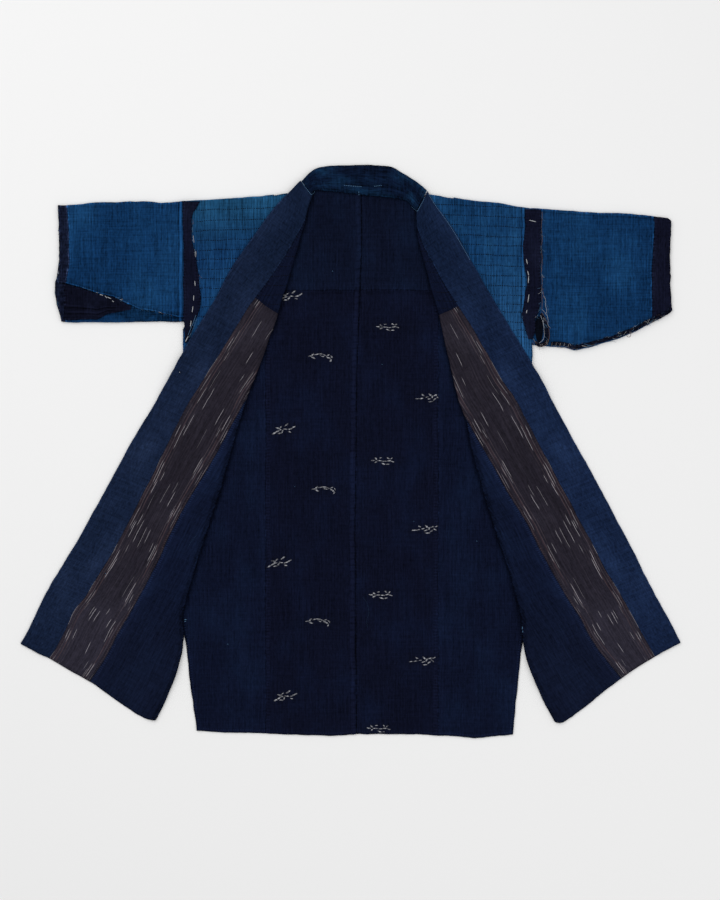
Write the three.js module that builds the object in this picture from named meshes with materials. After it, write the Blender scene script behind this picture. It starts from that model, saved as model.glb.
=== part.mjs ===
// A noragi, a patched indigo work jacket, laid on its back with both fronts turned open.
// Millimetres, +X to the right, +Y towards the collar, +Z up. The surface it lies on is z = 0.
import * as THREE from 'three';
import { mergeVertices } from 'three/addons/utils/BufferGeometryUtils.js';

// Thickness of the cloth and of the partings
const cloth = 1.8;
const thinCloth = 1.2;
const collarCloth = 3.6;
const layerGap = 0.5;
const seamGap = 0.4;
const layerStep = cloth + layerGap;

// Height of the middle of each layer
const lowLayer = cloth / 2;
const midLayer = lowLayer + layerStep;
const topLayer = midLayer + layerStep;
const bandLayer = topLayer + (thinCloth - cloth) / 2;
const edgeRadius = layerStep / 2;

// The turned fold of each front: it stands this much proud, then settles
const foldLift = 2.3;
const foldFlat = 7;
const foldFade = 26;
const hemTurn = 6;

// Where a turned front leaves the body, it sinks to the surface over this stretch
const sinkStart = 16;
const sinkEnd = 56;

// Lengths across the garment
const armholeLeft = -275.2;
const armholeRight = 313;
const underarmLeft = 221;
const underarmStep = 8;
const shoulderReturn = 6;
const yokeSeam = 278;

// Fronts, one row for each section from the neck to the hem. The fold runs through foldX, foldY.
// tilt is the slant of the section in degrees, and outer, seam and strip are distances out from
// the fold to the collar's free edge, the collar seam and the strip's seam to the front width.
// A distance below zero lies on the under layer, on the body.
const leftFront = [
  { foldX: -65, foldY: 440, tilt: 51, outer: 33, seam: 0, strip: -66 },
  { foldX: -72, foldY: 417, tilt: 43, outer: 42.5, seam: 0, strip: -60 },
  { foldX: -80, foldY: 384.5, tilt: 38, outer: 60, seam: 2.5, strip: -54 },
  { foldX: -97.5, foldY: 326, tilt: 36, outer: 81, seam: 17, strip: -46 },
  { foldX: -115.5, foldY: 265.5, tilt: 36, outer: 101, seam: 37, strip: -36 },
  { foldX: -137.5, foldY: 198, tilt: 31, outer: 114, seam: 58, strip: -22 },
  { foldX: -160, foldY: 135, tilt: 26, outer: 128.5, seam: 71.5, strip: -9 },
  { foldX: -177, foldY: 93.5, tilt: 24, outer: 134, seam: 80.5, strip: 0 },
  { foldX: -197.5, foldY: 26.5, tilt: 22, outer: 152, seam: 98, strip: 16 },
  { foldX: -219.5, foldY: -52.5, tilt: 21, outer: 174.5, seam: 114, strip: 38.5 },
  { foldX: -247, foldY: -140, tilt: 21, outer: 191, seam: 130, strip: 57.5 },
  { foldX: -271, foldY: -217.5, tilt: 21, outer: 208, seam: 147, strip: 72 },
  { foldX: -287, foldY: -279.5, tilt: 22, outer: 226, seam: 166, strip: 88.5 },
  { foldX: -287, foldY: -324, tilt: 24, outer: 245.5, seam: 187, strip: 109.5 },
  { foldX: -297, foldY: -370.5, tilt: 26.5, outer: 258.5, seam: 200, strip: 122 },
  { foldX: -335.5, foldY: -461.5, tilt: 30, outer: 265.5, seam: 206, strip: 129 },
];
const rightFront = [
  { foldX: 115, foldY: 412, tilt: 62, outer: 39, seam: 0, strip: -62 },
  { foldX: 114, foldY: 389, tilt: 47, outer: 48.5, seam: 0, strip: -56 },
  { foldX: 122, foldY: 346.5, tilt: 36, outer: 65.5, seam: 7, strip: -50 },
  { foldX: 137, foldY: 291.5, tilt: 28, outer: 80, seam: 20, strip: -42 },
  { foldX: 153, foldY: 235, tilt: 23, outer: 95, seam: 36, strip: -32 },
  { foldX: 167, foldY: 171, tilt: 24, outer: 115.5, seam: 58, strip: -20 },
  { foldX: 185.5, foldY: 93.5, tilt: 24, outer: 139.5, seam: 80.5, strip: -8 },
  { foldX: 199.5, foldY: 52.5, tilt: 24, outer: 148, seam: 92, strip: 1 },
  { foldX: 212.5, foldY: -11, tilt: 22, outer: 165, seam: 111, strip: 21 },
  { foldX: 235.5, foldY: -93.5, tilt: 21, outer: 184.5, seam: 127.5, strip: 44 },
  { foldX: 254.5, foldY: -149, tilt: 21, outer: 194, seam: 137.5, strip: 57 },
  { foldX: 271.5, foldY: -200.5, tilt: 21, outer: 203, seam: 146.5, strip: 69 },
  { foldX: 292.5, foldY: -276, tilt: 22, outer: 219.5, seam: 165.5, strip: 89 },
  { foldX: 298, foldY: -331, tilt: 24, outer: 238.5, seam: 188, strip: 114 },
  { foldX: 314.5, foldY: -388, tilt: 27, outer: 249, seam: 200, strip: 128 },
  { foldX: 347.5, foldY: -463.5, tilt: 31.8, outer: 256.5, seam: 204, strip: 141 },
];
const brownFromLeft = 4.42;
const brownFromRight = 4;
const lastSection = leftFront.length - 1;
const hemBowRight = 9;

// Shoulder line: rise above the first fold point at a distance out from it
const leftShoulder = [
  { out: 0, rise: 0 },
  { out: 22, rise: 4 },
  { out: 44, rise: 4.5 },
  { out: 93, rise: -2 },
  { out: 192, rise: -8.5 },
  { out: 212, rise: -9.5 },
];
const rightShoulder = [
  { out: 0, rise: 0 },
  { out: 10, rise: 20 },
  { out: 22, rise: 32 },
  { out: 57, rise: 26 },
  { out: 91, rise: 20 },
  { out: 141, rise: 16 },
  { out: 185, rise: 8.5 },
  { out: 200, rise: 5.5 },
];
const shoulderFade = 5;

// Side edges of the body, the back and the under layers of the fronts
const leftSide = [
  { y: 445, x: armholeLeft },
  { y: underarmLeft, x: armholeLeft },
  { y: underarmLeft - underarmStep, x: -286 },
  { y: -280, x: -286 },
  { y: -324, x: -279.5 },
  { y: -401, x: -273 },
  { y: -490, x: -263 },
];
const rightSide = [
  { y: 445, x: armholeRight },
  { y: 180, x: armholeRight },
  { y: -49, x: 308 },
  { y: -255, x: 299 },
  { y: -331, x: 294.5 },
  { y: -412, x: 287 },
  { y: -495, x: 278.5 },
];
const centreSeam = [
  { y: 450, x: 20 },
  { y: 357, x: 20 },
  { y: 281, x: 17 },
  { y: 137, x: 12 },
  { y: -101, x: 9 },
  { y: -490, x: 11 },
];
const leftPanelSeam = -145;
const rightPanelSeam = 151.5;
const hemLine = [
  { x: -290, y: -480 },
  { x: -264, y: -481 },
  { x: -149, y: -485 },
  { x: -37, y: -489 },
  { x: 11, y: -486 },
  { x: 112, y: -486 },
  { x: 213, y: -492.5 },
  { x: 290, y: -485 },
];

// Top edges of the yoke: the neckline under the neck collar, the shoulder under the strips,
// and then the seam below the fronts' turn over the shoulder
const leftYokeTop = [
  { x: armholeLeft, y: 422.8 },
  { x: -257, y: 423.8 },
  { x: -210, y: 426.8 },
  { x: -158, y: 430.2 },
  { x: -131.8, y: 433 },
  { x: -124, y: 441 },
  { x: -109, y: 443.5 },
  { x: -87, y: 443 },
  { x: -66, y: 443 },
  { x: -58, y: 451 },
  { x: -24, y: 451 },
  { x: 7, y: 447 },
  { x: 20, y: 446 },
];
const rightYokeTop = [
  { x: 20, y: 446 },
  { x: 69, y: 442 },
  { x: 96, y: 438 },
  { x: 115, y: 438 },
  { x: 137, y: 442.5 },
  { x: 169, y: 437 },
  { x: 176.6, y: 429.2 },
  { x: 206, y: 424.2 },
  { x: 256, y: 420.2 },
  { x: 300, y: 412.6 },
  { x: armholeRight, y: 410 },
];

// Neck collar, one row for each section from left to right: its outer and inner edges,
// the heights of the middle of the cloth there and the rise of its roll between them
const neckSections = [
  { outX: -84, outY: 464.5, inX: -66.2, inY: 441.6, outZ: 5.6, inZ: 7.6, crown: 0.6 },
  { outX: -69.5, outY: 479, inX: -59, inY: 448, outZ: 4, inZ: 5.4, crown: 2.5 },
  { outX: -51, outY: 488.5, inX: -43, inY: 447.5, outZ: 1.9, inZ: 4.3, crown: 4.5 },
  { outX: -14, outY: 491, inX: -15, inY: 445.5, outZ: 1.8, inZ: 4.2, crown: 6.5 },
  { outX: 27, outY: 492.7, inX: 24, inY: 440, outZ: 1.8, inZ: 4.2, crown: 7.5 },
  { outX: 69, outY: 490, inX: 65, inY: 436, outZ: 1.8, inZ: 4.2, crown: 6.5 },
  { outX: 86, outY: 481.5, inX: 89, inY: 433.5, outZ: 1.9, inZ: 4.4, crown: 5.5 },
  { outX: 103, outY: 471, inX: 101, inY: 429, outZ: 3, inZ: 5, crown: 4 },
  { outX: 119.5, outY: 459.5, inX: 107.5, inY: 420.5, outZ: 4.4, inZ: 6.4, crown: 2 },
  { outX: 132.2, outY: 447.8, inX: 114.6, inY: 413.4, outZ: 5.6, inZ: 7.6, crown: 0.6 },
];

// Left sleeve: top edge, slanting free edge of the upper layer, and bottom fold
const leftSleeve = [
  { x: -506, top: 423, slant: 291, bottom: 225 },
  { x: -489, top: 423, slant: 290, bottom: 224 },
  { x: -465, top: 425, slant: 283, bottom: 222.5 },
  { x: -434, top: 428, slant: 272, bottom: 222.5 },
  { x: -405, top: 428.5, slant: 266, bottom: 223 },
  { x: -381, top: 429, slant: 254, bottom: 223.5 },
  { x: -358, top: 428.5, slant: 244, bottom: 224 },
  { x: -327, top: 427, slant: 239, bottom: 224 },
  { x: -296, top: 429, slant: 232, bottom: 224 },
  { x: armholeLeft, top: 430.5, slant: 230.5, bottom: 225 },
];
const slantLap = 8;
const slantRise = 12;
const slantFall = 32;
const slantFrom = -290;
const slantFull = -304;
const lapFrom = -306;
const lapFull = -324;

// Right sleeve: top edge and bottom edge
const rightSleeve = [
  { x: armholeRight, top: 417, bottom: 184 },
  { x: 343, top: 416, bottom: 181 },
  { x: 367, top: 414.5, bottom: 180 },
  { x: 386, top: 413, bottom: 175 },
  { x: 410, top: 411.5, bottom: 180 },
  { x: 454, top: 409, bottom: 193 },
  { x: 493, top: 406.5, bottom: 208 },
  { x: 519, top: 404, bottom: 222 },
  { x: 548, top: 400, bottom: 237 },
  { x: 553, top: 393, bottom: 243 },
];

// Cuff bands: the seam to the sleeve and the free edge, at heights down the opening
const leftCuffEdge = [
  { y: 424, seam: -487, free: -502 },
  { y: 380, seam: -483, free: -500.5 },
  { y: 330, seam: -482, free: -501 },
  { y: 288, seam: -488, free: -505 },
  { y: 250, seam: -489, free: -501 },
  { y: 222, seam: -488, free: -494 },
];
const rightCuffEdge = [
  { y: 406, seam: 522, free: 549 },
  { y: 390, seam: 522.5, free: 552 },
  { y: 340, seam: 519.5, free: 552 },
  { y: 290, seam: 518, free: 552 },
  { y: 240, seam: 519, free: 552.5 },
  { y: 222, seam: 519, free: 552.5 },
];

// Bands over the armhole seams: left and right edges at heights down the armhole
const leftBand = [
  { y: 429.5, left: -288, right: -257.5 },
  { y: 419, left: -287.5, right: -263 },
  { y: 408, left: -287, right: -270 },
  { y: 388, left: -286.5, right: -271 },
  { y: 361, left: -286, right: -270 },
  { y: 314, left: -286, right: -261 },
  { y: 289, left: -286, right: -259 },
  { y: 254, left: -286, right: -257 },
  { y: 233, left: -286, right: -263 },
  { y: 220, left: -285, right: -269 },
  { y: 197, left: -284, right: -274 },
  { y: 187, left: -283.5, right: -280.5 },
];
const rightBand = [
  { y: 415.5, left: 301, right: 329 },
  { y: 384, left: 300, right: 329 },
  { y: 341, left: 297, right: 328 },
  { y: 297, left: 303, right: 328 },
  { y: 269, left: 300.5, right: 328.5 },
  { y: 243, left: 297, right: 326 },
  { y: 231, left: 296, right: 320 },
  { y: 207, left: 302.5, right: 317.5 },
  { y: 193, left: 306, right: 312.5 },
];

// Dark patch on the sleeve's flap: its lower edge
const patchLow = [
  { x: -500, y: 225.5 },
  { x: -434, y: 225 },
  { x: -416, y: 235 },
  { x: -374, y: 244 },
];
const patchFrom = -499;
const patchTo = -376;

// Raw seam edge along the bottom of the right sleeve
const rawSeamFrom = 345;
const rawSeamTo = 549;
const rawSeamWidth = 7;

// Loop of raw cloth edge at the right underarm: the middle of its band
const loopPath = [
  { x: 328, y: 237, width: 3 },
  { x: 332.5, y: 226, width: 6 },
  { x: 337, y: 211, width: 7.5 },
  { x: 338.5, y: 197, width: 7.5 },
  { x: 335, y: 186.5, width: 7.5 },
  { x: 326, y: 183, width: 6.5 },
  { x: 318, y: 188, width: 4 },
];

// Colours of the cloths
const colours = {
  paleIndigo: 0x1a3d66,
  darkIndigo: 0x0f1326,
  sideIndigo: 0x101a2e,
  frontIndigo: 0x142140,
  stripTop: 0x141d38,
  brown: 0x2b2932,
  collar: 0x1a2a46,
  collarNeck: 0x102036,
  band: 0x11142a,
  patch: 0x0f1120,
  raw: 0x14161f,
};

const garment = new THREE.Group();
garment.name = 'noragi';

function clamp(value, low, high) {
  return Math.min(high, Math.max(low, value));
}

function smooth(from, to, value) {
  const part = clamp((value - from) / (to - from), 0, 1);
  return part * part * (3 - 2 * part);
}

function mix(a, b, part) {
  return a + (b - a) * part;
}

// Smooth value of a named column at a place between the rows of an evenly counted table
function section(rows, name, place) {
  const at = clamp(place, 0, rows.length - 1);
  const low = Math.min(Math.floor(at), rows.length - 2);
  const part = at - low;
  const before = rows[Math.max(low - 1, 0)][name];
  const start = rows[low][name];
  const end = rows[low + 1][name];
  const after = rows[Math.min(low + 2, rows.length - 1)][name];
  const bend = 2 * before - 5 * start + 4 * end - after;
  const twist = 3 * (start - end) + after - before;
  return start + part * (end - before + part * (bend + part * twist)) / 2;
}

// Straight value of a column against another column of a table
function lookup(rows, key, name, value) {
  const rising = rows[rows.length - 1][key] > rows[0][key];
  const passed = rows.findIndex((row) => (rising ? row[key] >= value : row[key] <= value));
  if (passed === 0) {
    return rows[0][name];
  }
  if (passed < 0) {
    return rows[rows.length - 1][name];
  }
  const part = (value - rows[passed - 1][key]) / (rows[passed][key] - rows[passed - 1][key]);
  return mix(rows[passed - 1][name], rows[passed][name], part);
}

// Place between the rows of a table where a steadily rising or falling column reaches a value
function placeOf(rows, name, value) {
  const rising = rows[rows.length - 1][name] > rows[0][name];
  let [low, high] = [0, rows.length - 1];
  while (high - low > 1e-4) {
    const at = (low + high) / 2;
    [low, high] = (section(rows, name, at) < value) === rising ? [at, high] : [low, at];
  }
  return low;
}

function evenly(from, to, count) {
  return Array.from({ length: count + 1 }, (unused, step) => mix(from, to, step / count));
}

// Unit direction of the sheet along one of its two counts, mean of both sides of a place
function direction(place, ahead, behind) {
  const forward = ahead.clone().sub(place).normalize();
  const backward = place.clone().sub(behind).normalize();
  return forward.add(backward).normalize();
}

// A cloth wall on a sheet given by place(row, column). The rows and columns are lists of counts,
// columns may be cut short by limits(row), and a ring closes on its first column.
function clothWall({ place, rows, columns, limits, thickness = cloth, ring = false }) {
  const step = 0.02;
  const faces = [[], []];
  const width = columns.length;
  for (const row of rows) {
    const [low, high] = limits ? limits(row) : [-Infinity, Infinity];
    for (const column of columns) {
      const across = clamp(column, low, high);
      const middle = place(row, across);
      const down = direction(middle, place(row + step, across), place(row - step, across));
      const over = direction(middle, place(row, across + step), place(row, across - step));
      const normal = down.cross(over).normalize();
      faces[0].push(middle.clone().addScaledVector(normal, thickness / 2));
      faces[1].push(middle.clone().addScaledVector(normal, -thickness / 2));
    }
  }
  const half = faces[0].length;
  const triangles = [];
  const quad = (a, b, c, d) => triangles.push([a, b, c], [a, c, d]);
  const spans = ring ? width : width - 1;
  for (let row = 0; row < rows.length - 1; row += 1) {
    for (let column = 0; column < spans; column += 1) {
      const a = row * width + column;
      const b = row * width + (column + 1) % width;
      quad(a, b, b + width, a + width);
      quad(half + a, half + a + width, half + b + width, half + b);
    }
    if (!ring) {
      const first = row * width;
      const last = first + width - 1;
      quad(first, first + width, half + first + width, half + first);
      quad(last, half + last, half + last + width, last + width);
    }
  }
  const bottom = (rows.length - 1) * width;
  for (let column = 0; column < spans; column += 1) {
    const next = (column + 1) % width;
    quad(column, half + column, half + next, next);
    quad(bottom + column, bottom + next, half + bottom + next, half + bottom + column);
  }
  return closedBody([...faces[0], ...faces[1]], triangles);
}

// Merged, closed geometry with its faces outwards
function closedBody(points, triangles) {
  const raw = new THREE.BufferGeometry().setFromPoints(points);
  raw.setIndex(triangles.flat());
  const merged = mergeVertices(raw, 1e-3);
  const index = Array.from(merged.index.array);
  const kept = [];
  for (let start = 0; start < index.length; start += 3) {
    const [a, b, c] = index.slice(start, start + 3);
    if (a !== b && b !== c && c !== a) {
      kept.push(a, b, c);
    }
  }
  merged.setIndex(kept);
  if (volume(merged) < 0) {
    for (let start = 0; start < kept.length; start += 3) {
      [kept[start], kept[start + 1]] = [kept[start + 1], kept[start]];
    }
    merged.setIndex(kept);
  }
  return merged;
}

function volume(geometry) {
  const place = geometry.getAttribute('position');
  const index = geometry.index.array;
  const corners = [new THREE.Vector3(), new THREE.Vector3(), new THREE.Vector3()];
  let total = 0;
  for (let start = 0; start < index.length; start += 3) {
    corners.forEach((corner, which) => corner.fromBufferAttribute(place, index[start + which]));
    total += corners[0].dot(corners[1].clone().cross(corners[2])) / 6;
  }
  return total;
}

function addPiece(name, colour, geometry) {
  geometry.computeVertexNormals();
  const material = new THREE.MeshStandardMaterial({ color: colour, roughness: 0.92, metalness: 0 });
  const mesh = new THREE.Mesh(geometry, material);
  mesh.name = name;
  garment.add(mesh);
}

// The body's shared lines
const hemAt = (x) => lookup(hemLine, 'x', 'y', x);

// One front and what is sewn to it. Rows count the sections from the neck to the hem, and a row
// below zero goes over the shoulder by so many millimetres. Columns are distances out from the
// fold, above zero on the turned layer and below zero on the under layer.
function makeFront({ side, sections, shoulder, edge, bow }) {
  const riseAt = (out) => lookup(shoulder, 'out', 'rise', out);
  const edgeAt = (y) => lookup(edge, 'y', 'x', y);
  const support = (x, y) => {
    const outside = side * (x - edgeAt(Math.min(y, 200)));
    return (topLayer - cloth / 2) * (1 - smooth(sinkStart, sinkEnd, outside));
  };
  const onTop = (row, out) => {
    const tilt = THREE.MathUtils.degToRad(section(sections, 'tilt', row));
    const reach = out / section(sections, 'outer', row);
    const bowed = bow * smooth(lastSection - 3, lastSection, row) * 4 * reach * (1 - reach);
    const x = section(sections, 'foldX', row) + side * out * Math.cos(tilt);
    const y = section(sections, 'foldY', row) + out * Math.sin(tilt) + bowed;
    return { x, y };
  };
  const below = (row, out) => {
    const fade = 1 - smooth(0, shoulderFade, row);
    const x = section(sections, 'foldX', row) + side * out;
    const y = section(sections, 'foldY', row) + riseAt(out) * fade;
    return { x, y };
  };
  const place = (wall) => (row, out) => {
    const over = Math.max(0, -row);
    const count = Math.max(0, row);
    const far = Math.abs(out);
    const spot = out >= 0 ? onTop(count, far) : below(count, far);
    const foldX = section(sections, 'foldX', count);
    const foldY = section(sections, 'foldY', count);
    const rest = support(foldX, foldY) + wall / 2;
    const under = Math.max(lowLayer, support(foldX, foldY) + cloth / 2 - layerStep);
    const radius = (rest + foldLift - under) / 2;
    if (far < radius) {
      const lift = Math.sqrt(radius * radius - (radius - far) * (radius - far));
      const height = under + radius + Math.sign(out) * lift;
      return new THREE.Vector3(spot.x, spot.y, height);
    }
    if (out > 0) {
      const lift = foldLift * (1 - smooth(foldFlat, foldFade, far));
      return new THREE.Vector3(spot.x, spot.y, support(spot.x, spot.y) + wall / 2 + lift);
    }
    const turn = Math.min(over / edgeRadius, Math.PI);
    const flat = Math.max(0, over - Math.PI * edgeRadius);
    const y = spot.y + (over > 0 ? edgeRadius * Math.sin(turn) - flat : 0);
    return new THREE.Vector3(spot.x, y, under - edgeRadius * (1 - Math.cos(turn)));
  };
  const columnAt = (name) => (row) => section(sections, name, row);
  const sideReach = (row) => {
    const foldX = section(sections, 'foldX', row);
    const foldY = section(sections, 'foldY', row);
    return Math.max(hemTurn, side * (edgeAt(foldY) - foldX) - seamGap / 2);
  };
  return { place, columnAt, sideReach };
}

// Columns across a front, close together round the fold
const foldColumns = [
  -216, -185, -155, -125, -95, -66, -44, -22, -6,
  -2.3, -1.15, -0.3, 0, 0.3, 1.15, 2.3,
  7, 13, 19, 26, 42, 60, 80, 100, 120, 140, 165, 190, 210,
];
const collarColumns = [0, 0.4, 1.4, 2.8, 9, 20, 40, 70];
const sectionRowCount = 18;
const endGap = 0.006;
const stripTopStart = 0.08;
const seamCrossings = [-2.6, -1.2, 0, 1.2, 2.6];
const collarLeaves = [0.7, 1.8, 3];

function makeFrontPieces({ name, side, sections, shoulder, edge, bow, brownFrom }) {
  const front = makeFront({ side, sections, shoulder, edge, bow });
  const half = seamGap / 2;
  const strip = front.columnAt('strip');
  const seam = front.columnAt('seam');
  const outer = front.columnAt('outer');
  const used = (low, high) => foldColumns.filter((out) => out >= low && out <= high);
  const turnOver = [
    -(Math.PI * edgeRadius + shoulderReturn),
    ...evenly(-Math.PI * edgeRadius, 0, 3),
  ];
  const underarm = [0, 1].map((step) => placeOf(sections, 'foldY', underarmLeft - step * underarmStep));
  const crossing = seamCrossings.map((out) => placeOf(sections, 'strip', out));
  const leaving = collarLeaves.map((out) => placeOf(sections, 'seam', out));
  const steps = [...evenly(0, lastSection, sectionRowCount), brownFrom, ...underarm, ...crossing, ...leaving];
  const downRows = [...new Set(steps)].sort((a, b) => a - b);
  const topRows = downRows.filter((row) => row > 0 && row < brownFrom - endGap);
  const lowRows = downRows.filter((row) => row > brownFrom + endGap);
  addPiece(`front_${name}`, colours.paleIndigo, clothWall({
    place: front.place(cloth),
    rows: [...turnOver, ...downRows.slice(1)],
    columns: used(-216, 140),
    limits: (row) => [-front.sideReach(Math.max(row, 0)), strip(Math.max(row, 0)) - half],
  }));
  addPiece(`strip_top_${name}`, colours.stripTop, clothWall({
    place: front.place(cloth),
    rows: [stripTopStart, ...topRows, brownFrom - endGap],
    columns: used(-66, 42),
    limits: (row) => [strip(row) + half, seam(row) - half],
  }));
  addPiece(`front_strip_${name}`, colours.brown, clothWall({
    place: front.place(cloth),
    rows: [brownFrom + endGap, ...lowRows],
    columns: used(-44, 210),
    limits: (row) => [strip(row) + half, seam(row) - half],
  }));
  addPiece(`collar_${name}`, colours.collar, clothWall({
    place: (row, out) => front.place(collarCloth)(row, out + seam(row) + half),
    rows: downRows,
    columns: collarColumns,
    limits: (row) => [0, outer(row) - seam(row) - half],
    thickness: collarCloth,
  }));
}

// A flat panel of the back between two edges, from its top line to its bottom line
function backPanel({ leftAt, rightAt, topAt, bottomAt, rowCount, columnCount, levels = [], stations = [] }) {
  const middle = (leftAt(0) + rightAt(0)) / 2;
  const shares = levels.map((y) => (topAt(middle) - y) / (topAt(middle) - bottomAt(middle)));
  const rows = [...evenly(0, 1, rowCount), ...shares].sort((a, b) => a - b);
  const [left, right] = [leftAt(topAt(middle)), rightAt(topAt(middle))];
  const inner = stations.map((x) => (x - left) / (right - left)).filter((share) => share > 0 && share < 1);
  const columns = [...evenly(0, 1, columnCount), ...inner].sort((a, b) => a - b);
  const place = (row, column) => {
    const level = mix(topAt(middle), bottomAt(middle), row);
    const x = mix(leftAt(level), rightAt(level), column);
    return new THREE.Vector3(x, mix(topAt(x), bottomAt(x), row), lowLayer);
  };
  return clothWall({ place, rows, columns });
}

function makeBack() {
  const half = seamGap / 2;
  const centre = (gap) => (y) => lookup(centreSeam, 'y', 'x', y) + gap;
  const fixed = (value) => () => value;
  const leftEdge = (y) => lookup(leftSide, 'y', 'x', y) + half;
  const rightEdge = (y) => lookup(rightSide, 'y', 'x', y) - half;
  const leftTop = (x) => lookup(leftYokeTop, 'x', 'y', x);
  const rightTop = (x) => lookup(rightYokeTop, 'x', 'y', x);
  addPiece('back_yoke_left', colours.darkIndigo, backPanel({
    leftAt: fixed(armholeLeft + half),
    rightAt: centre(-half),
    topAt: leftTop,
    bottomAt: fixed(yokeSeam + half),
    rowCount: 2,
    columnCount: 1,
    stations: leftYokeTop.map((row) => row.x),
  }));
  addPiece('back_yoke_right', colours.darkIndigo, backPanel({
    leftAt: centre(half),
    rightAt: fixed(armholeRight - half),
    topAt: rightTop,
    bottomAt: fixed(yokeSeam + half),
    rowCount: 2,
    columnCount: 1,
    stations: rightYokeTop.map((row) => row.x),
  }));
  const below = { topAt: fixed(yokeSeam - half), bottomAt: hemAt };
  addPiece('back_centre_left', colours.darkIndigo, backPanel({
    leftAt: fixed(leftPanelSeam + half), rightAt: centre(-half), ...below, rowCount: 8, columnCount: 4,
  }));
  addPiece('back_centre_right', colours.darkIndigo, backPanel({
    leftAt: centre(half), rightAt: fixed(rightPanelSeam - half), ...below, rowCount: 8, columnCount: 4,
  }));
  addPiece('back_side_left', colours.sideIndigo, backPanel({
    leftAt: leftEdge, rightAt: fixed(leftPanelSeam - half), ...below, rowCount: 12, columnCount: 3,
    levels: [underarmLeft, underarmLeft - underarmStep],
  }));
  addPiece('back_side_right', colours.sideIndigo, backPanel({
    leftAt: fixed(rightPanelSeam + half), rightAt: rightEdge, ...below, rowCount: 12, columnCount: 3,
  }));
}

// The neck collar is a soft roll between its two seams
function makeNeckCollar() {
  const last = neckSections.length - 1;
  const place = (row, across) => {
    const at = (name) => section(neckSections, name, row);
    const roll = at('crown') * Math.sin(Math.PI * clamp(across, 0, 1));
    return new THREE.Vector3(
      mix(at('inX'), at('outX'), across),
      mix(at('inY'), at('outY'), across),
      mix(at('inZ'), at('outZ'), across) + roll,
    );
  };
  addPiece('collar_neck', colours.collarNeck, clothWall({
    place,
    rows: evenly(0, last, 2 * last),
    columns: evenly(0, 1, 8),
    thickness: collarCloth,
  }));
}

// Height of a half-round edge between the lower and the upper layer, from below to above
function roundEdge(y, outward, from) {
  return evenly(0, Math.PI, 4).map((turn) => ({
    y: y - outward * edgeRadius * (1 - Math.sin(turn)),
    z: from === 'upper' ? lowLayer + edgeRadius * (1 + Math.cos(turn))
      : lowLayer + edgeRadius * (1 - Math.cos(turn)),
  }));
}

// A sleeve or cuff: profile(x) is its section from edge to edge, and span turns a share of the
// way out and a height into x
function sleeveWall({ profile, span, from, to, rowCount, points, ring }) {
  const place = (row, column) => {
    const wrapped = ring ? ((column % points) + points) % points : clamp(column, 0, points - 1);
    const low = Math.min(Math.floor(wrapped), points - 1);
    const part = wrapped - low;
    const share = clamp(row, from, to);
    const beyond = row - share;
    const high = ring ? (low + 1) % points : Math.min(low + 1, points - 1);
    let spot = profile(span(share, 0))[low];
    for (let round = 0; round < 4; round += 1) {
      const near = profile(span(share, spot.y));
      spot = { y: mix(near[low].y, near[high].y, part), z: mix(near[low].z, near[high].z, part) };
    }
    return new THREE.Vector3(span(share, spot.y) + beyond, spot.y, spot.z);
  };
  const columns = Array.from({ length: points }, (unused, count) => count);
  return clothWall({ place, rows: evenly(from, to, rowCount), columns, ring });
}

function leftSleeveProfile(x) {
  const at = (name) => lookup(leftSleeve, 'x', name, x);
  const top = at('top');
  const slant = at('slant');
  const bottom = at('bottom');
  const rise = layerStep * smooth(slantFrom, slantFull, x);
  const lap = mix(-seamGap, slantLap, smooth(lapFrom, lapFull, x));
  const upper = [
    { y: slant, z: midLayer + rise },
    { y: slant + slantRise, z: midLayer + rise },
    { y: slant + (slantRise + slantFall) / 2, z: midLayer + rise / 2 },
    { y: slant + slantFall, z: midLayer },
    { y: mix(slant + slantFall, top, 0.5), z: midLayer },
  ];
  const lower = [{ y: mix(top, bottom, 0.35), z: lowLayer }, { y: mix(top, bottom, 0.7), z: lowLayer }];
  const flap = [{ y: slant + lap, z: midLayer }];
  return [...upper, ...roundEdge(top, 1, 'upper'), ...lower, ...roundEdge(bottom, -1, 'lower'), ...flap];
}

function rightSleeveProfile(x) {
  const top = lookup(rightSleeve, 'x', 'top', x);
  const bottom = lookup(rightSleeve, 'x', 'bottom', x);
  const shares = [0.3, 0.65];
  const lower = shares.map((share) => ({ y: mix(top, bottom, share), z: lowLayer }));
  const upper = shares.map((share) => ({ y: mix(bottom, top, share), z: midLayer }));
  return [...roundEdge(top, 1, 'upper'), ...lower, ...roundEdge(bottom, -1, 'lower'), ...upper];
}

function makeSleeves() {
  const half = seamGap / 2;
  const leftPoints = leftSleeveProfile(0).length;
  const rightPoints = rightSleeveProfile(400).length;
  const leftCuff = (name, y) => lookup(leftCuffEdge, 'y', name, y);
  const rightCuff = (name, y) => lookup(rightCuffEdge, 'y', name, y);
  addPiece('sleeve_left', colours.paleIndigo, sleeveWall({
    profile: leftSleeveProfile,
    span: (share, y) => mix(leftCuff('seam', y) + half, armholeLeft - half, share),
    from: 0, to: 1, rowCount: 18, points: leftPoints, ring: false,
  }));
  addPiece('cuff_left', colours.band, sleeveWall({
    profile: leftSleeveProfile,
    span: (share, y) => mix(leftCuff('free', y), leftCuff('seam', y) - half, share),
    from: 0, to: 1, rowCount: 2, points: leftPoints, ring: false,
  }));
  addPiece('sleeve_right', colours.paleIndigo, sleeveWall({
    profile: rightSleeveProfile,
    span: (share, y) => mix(armholeRight + half, rightCuff('seam', y) - half, share),
    from: 0, to: 1, rowCount: 12, points: rightPoints, ring: true,
  }));
  addPiece('cuff_right', colours.band, sleeveWall({
    profile: rightSleeveProfile,
    span: (share, y) => mix(rightCuff('seam', y) + half, rightCuff('free', y), share),
    from: 0, to: 1, rowCount: 3, points: rightPoints, ring: true,
  }));
}

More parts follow.
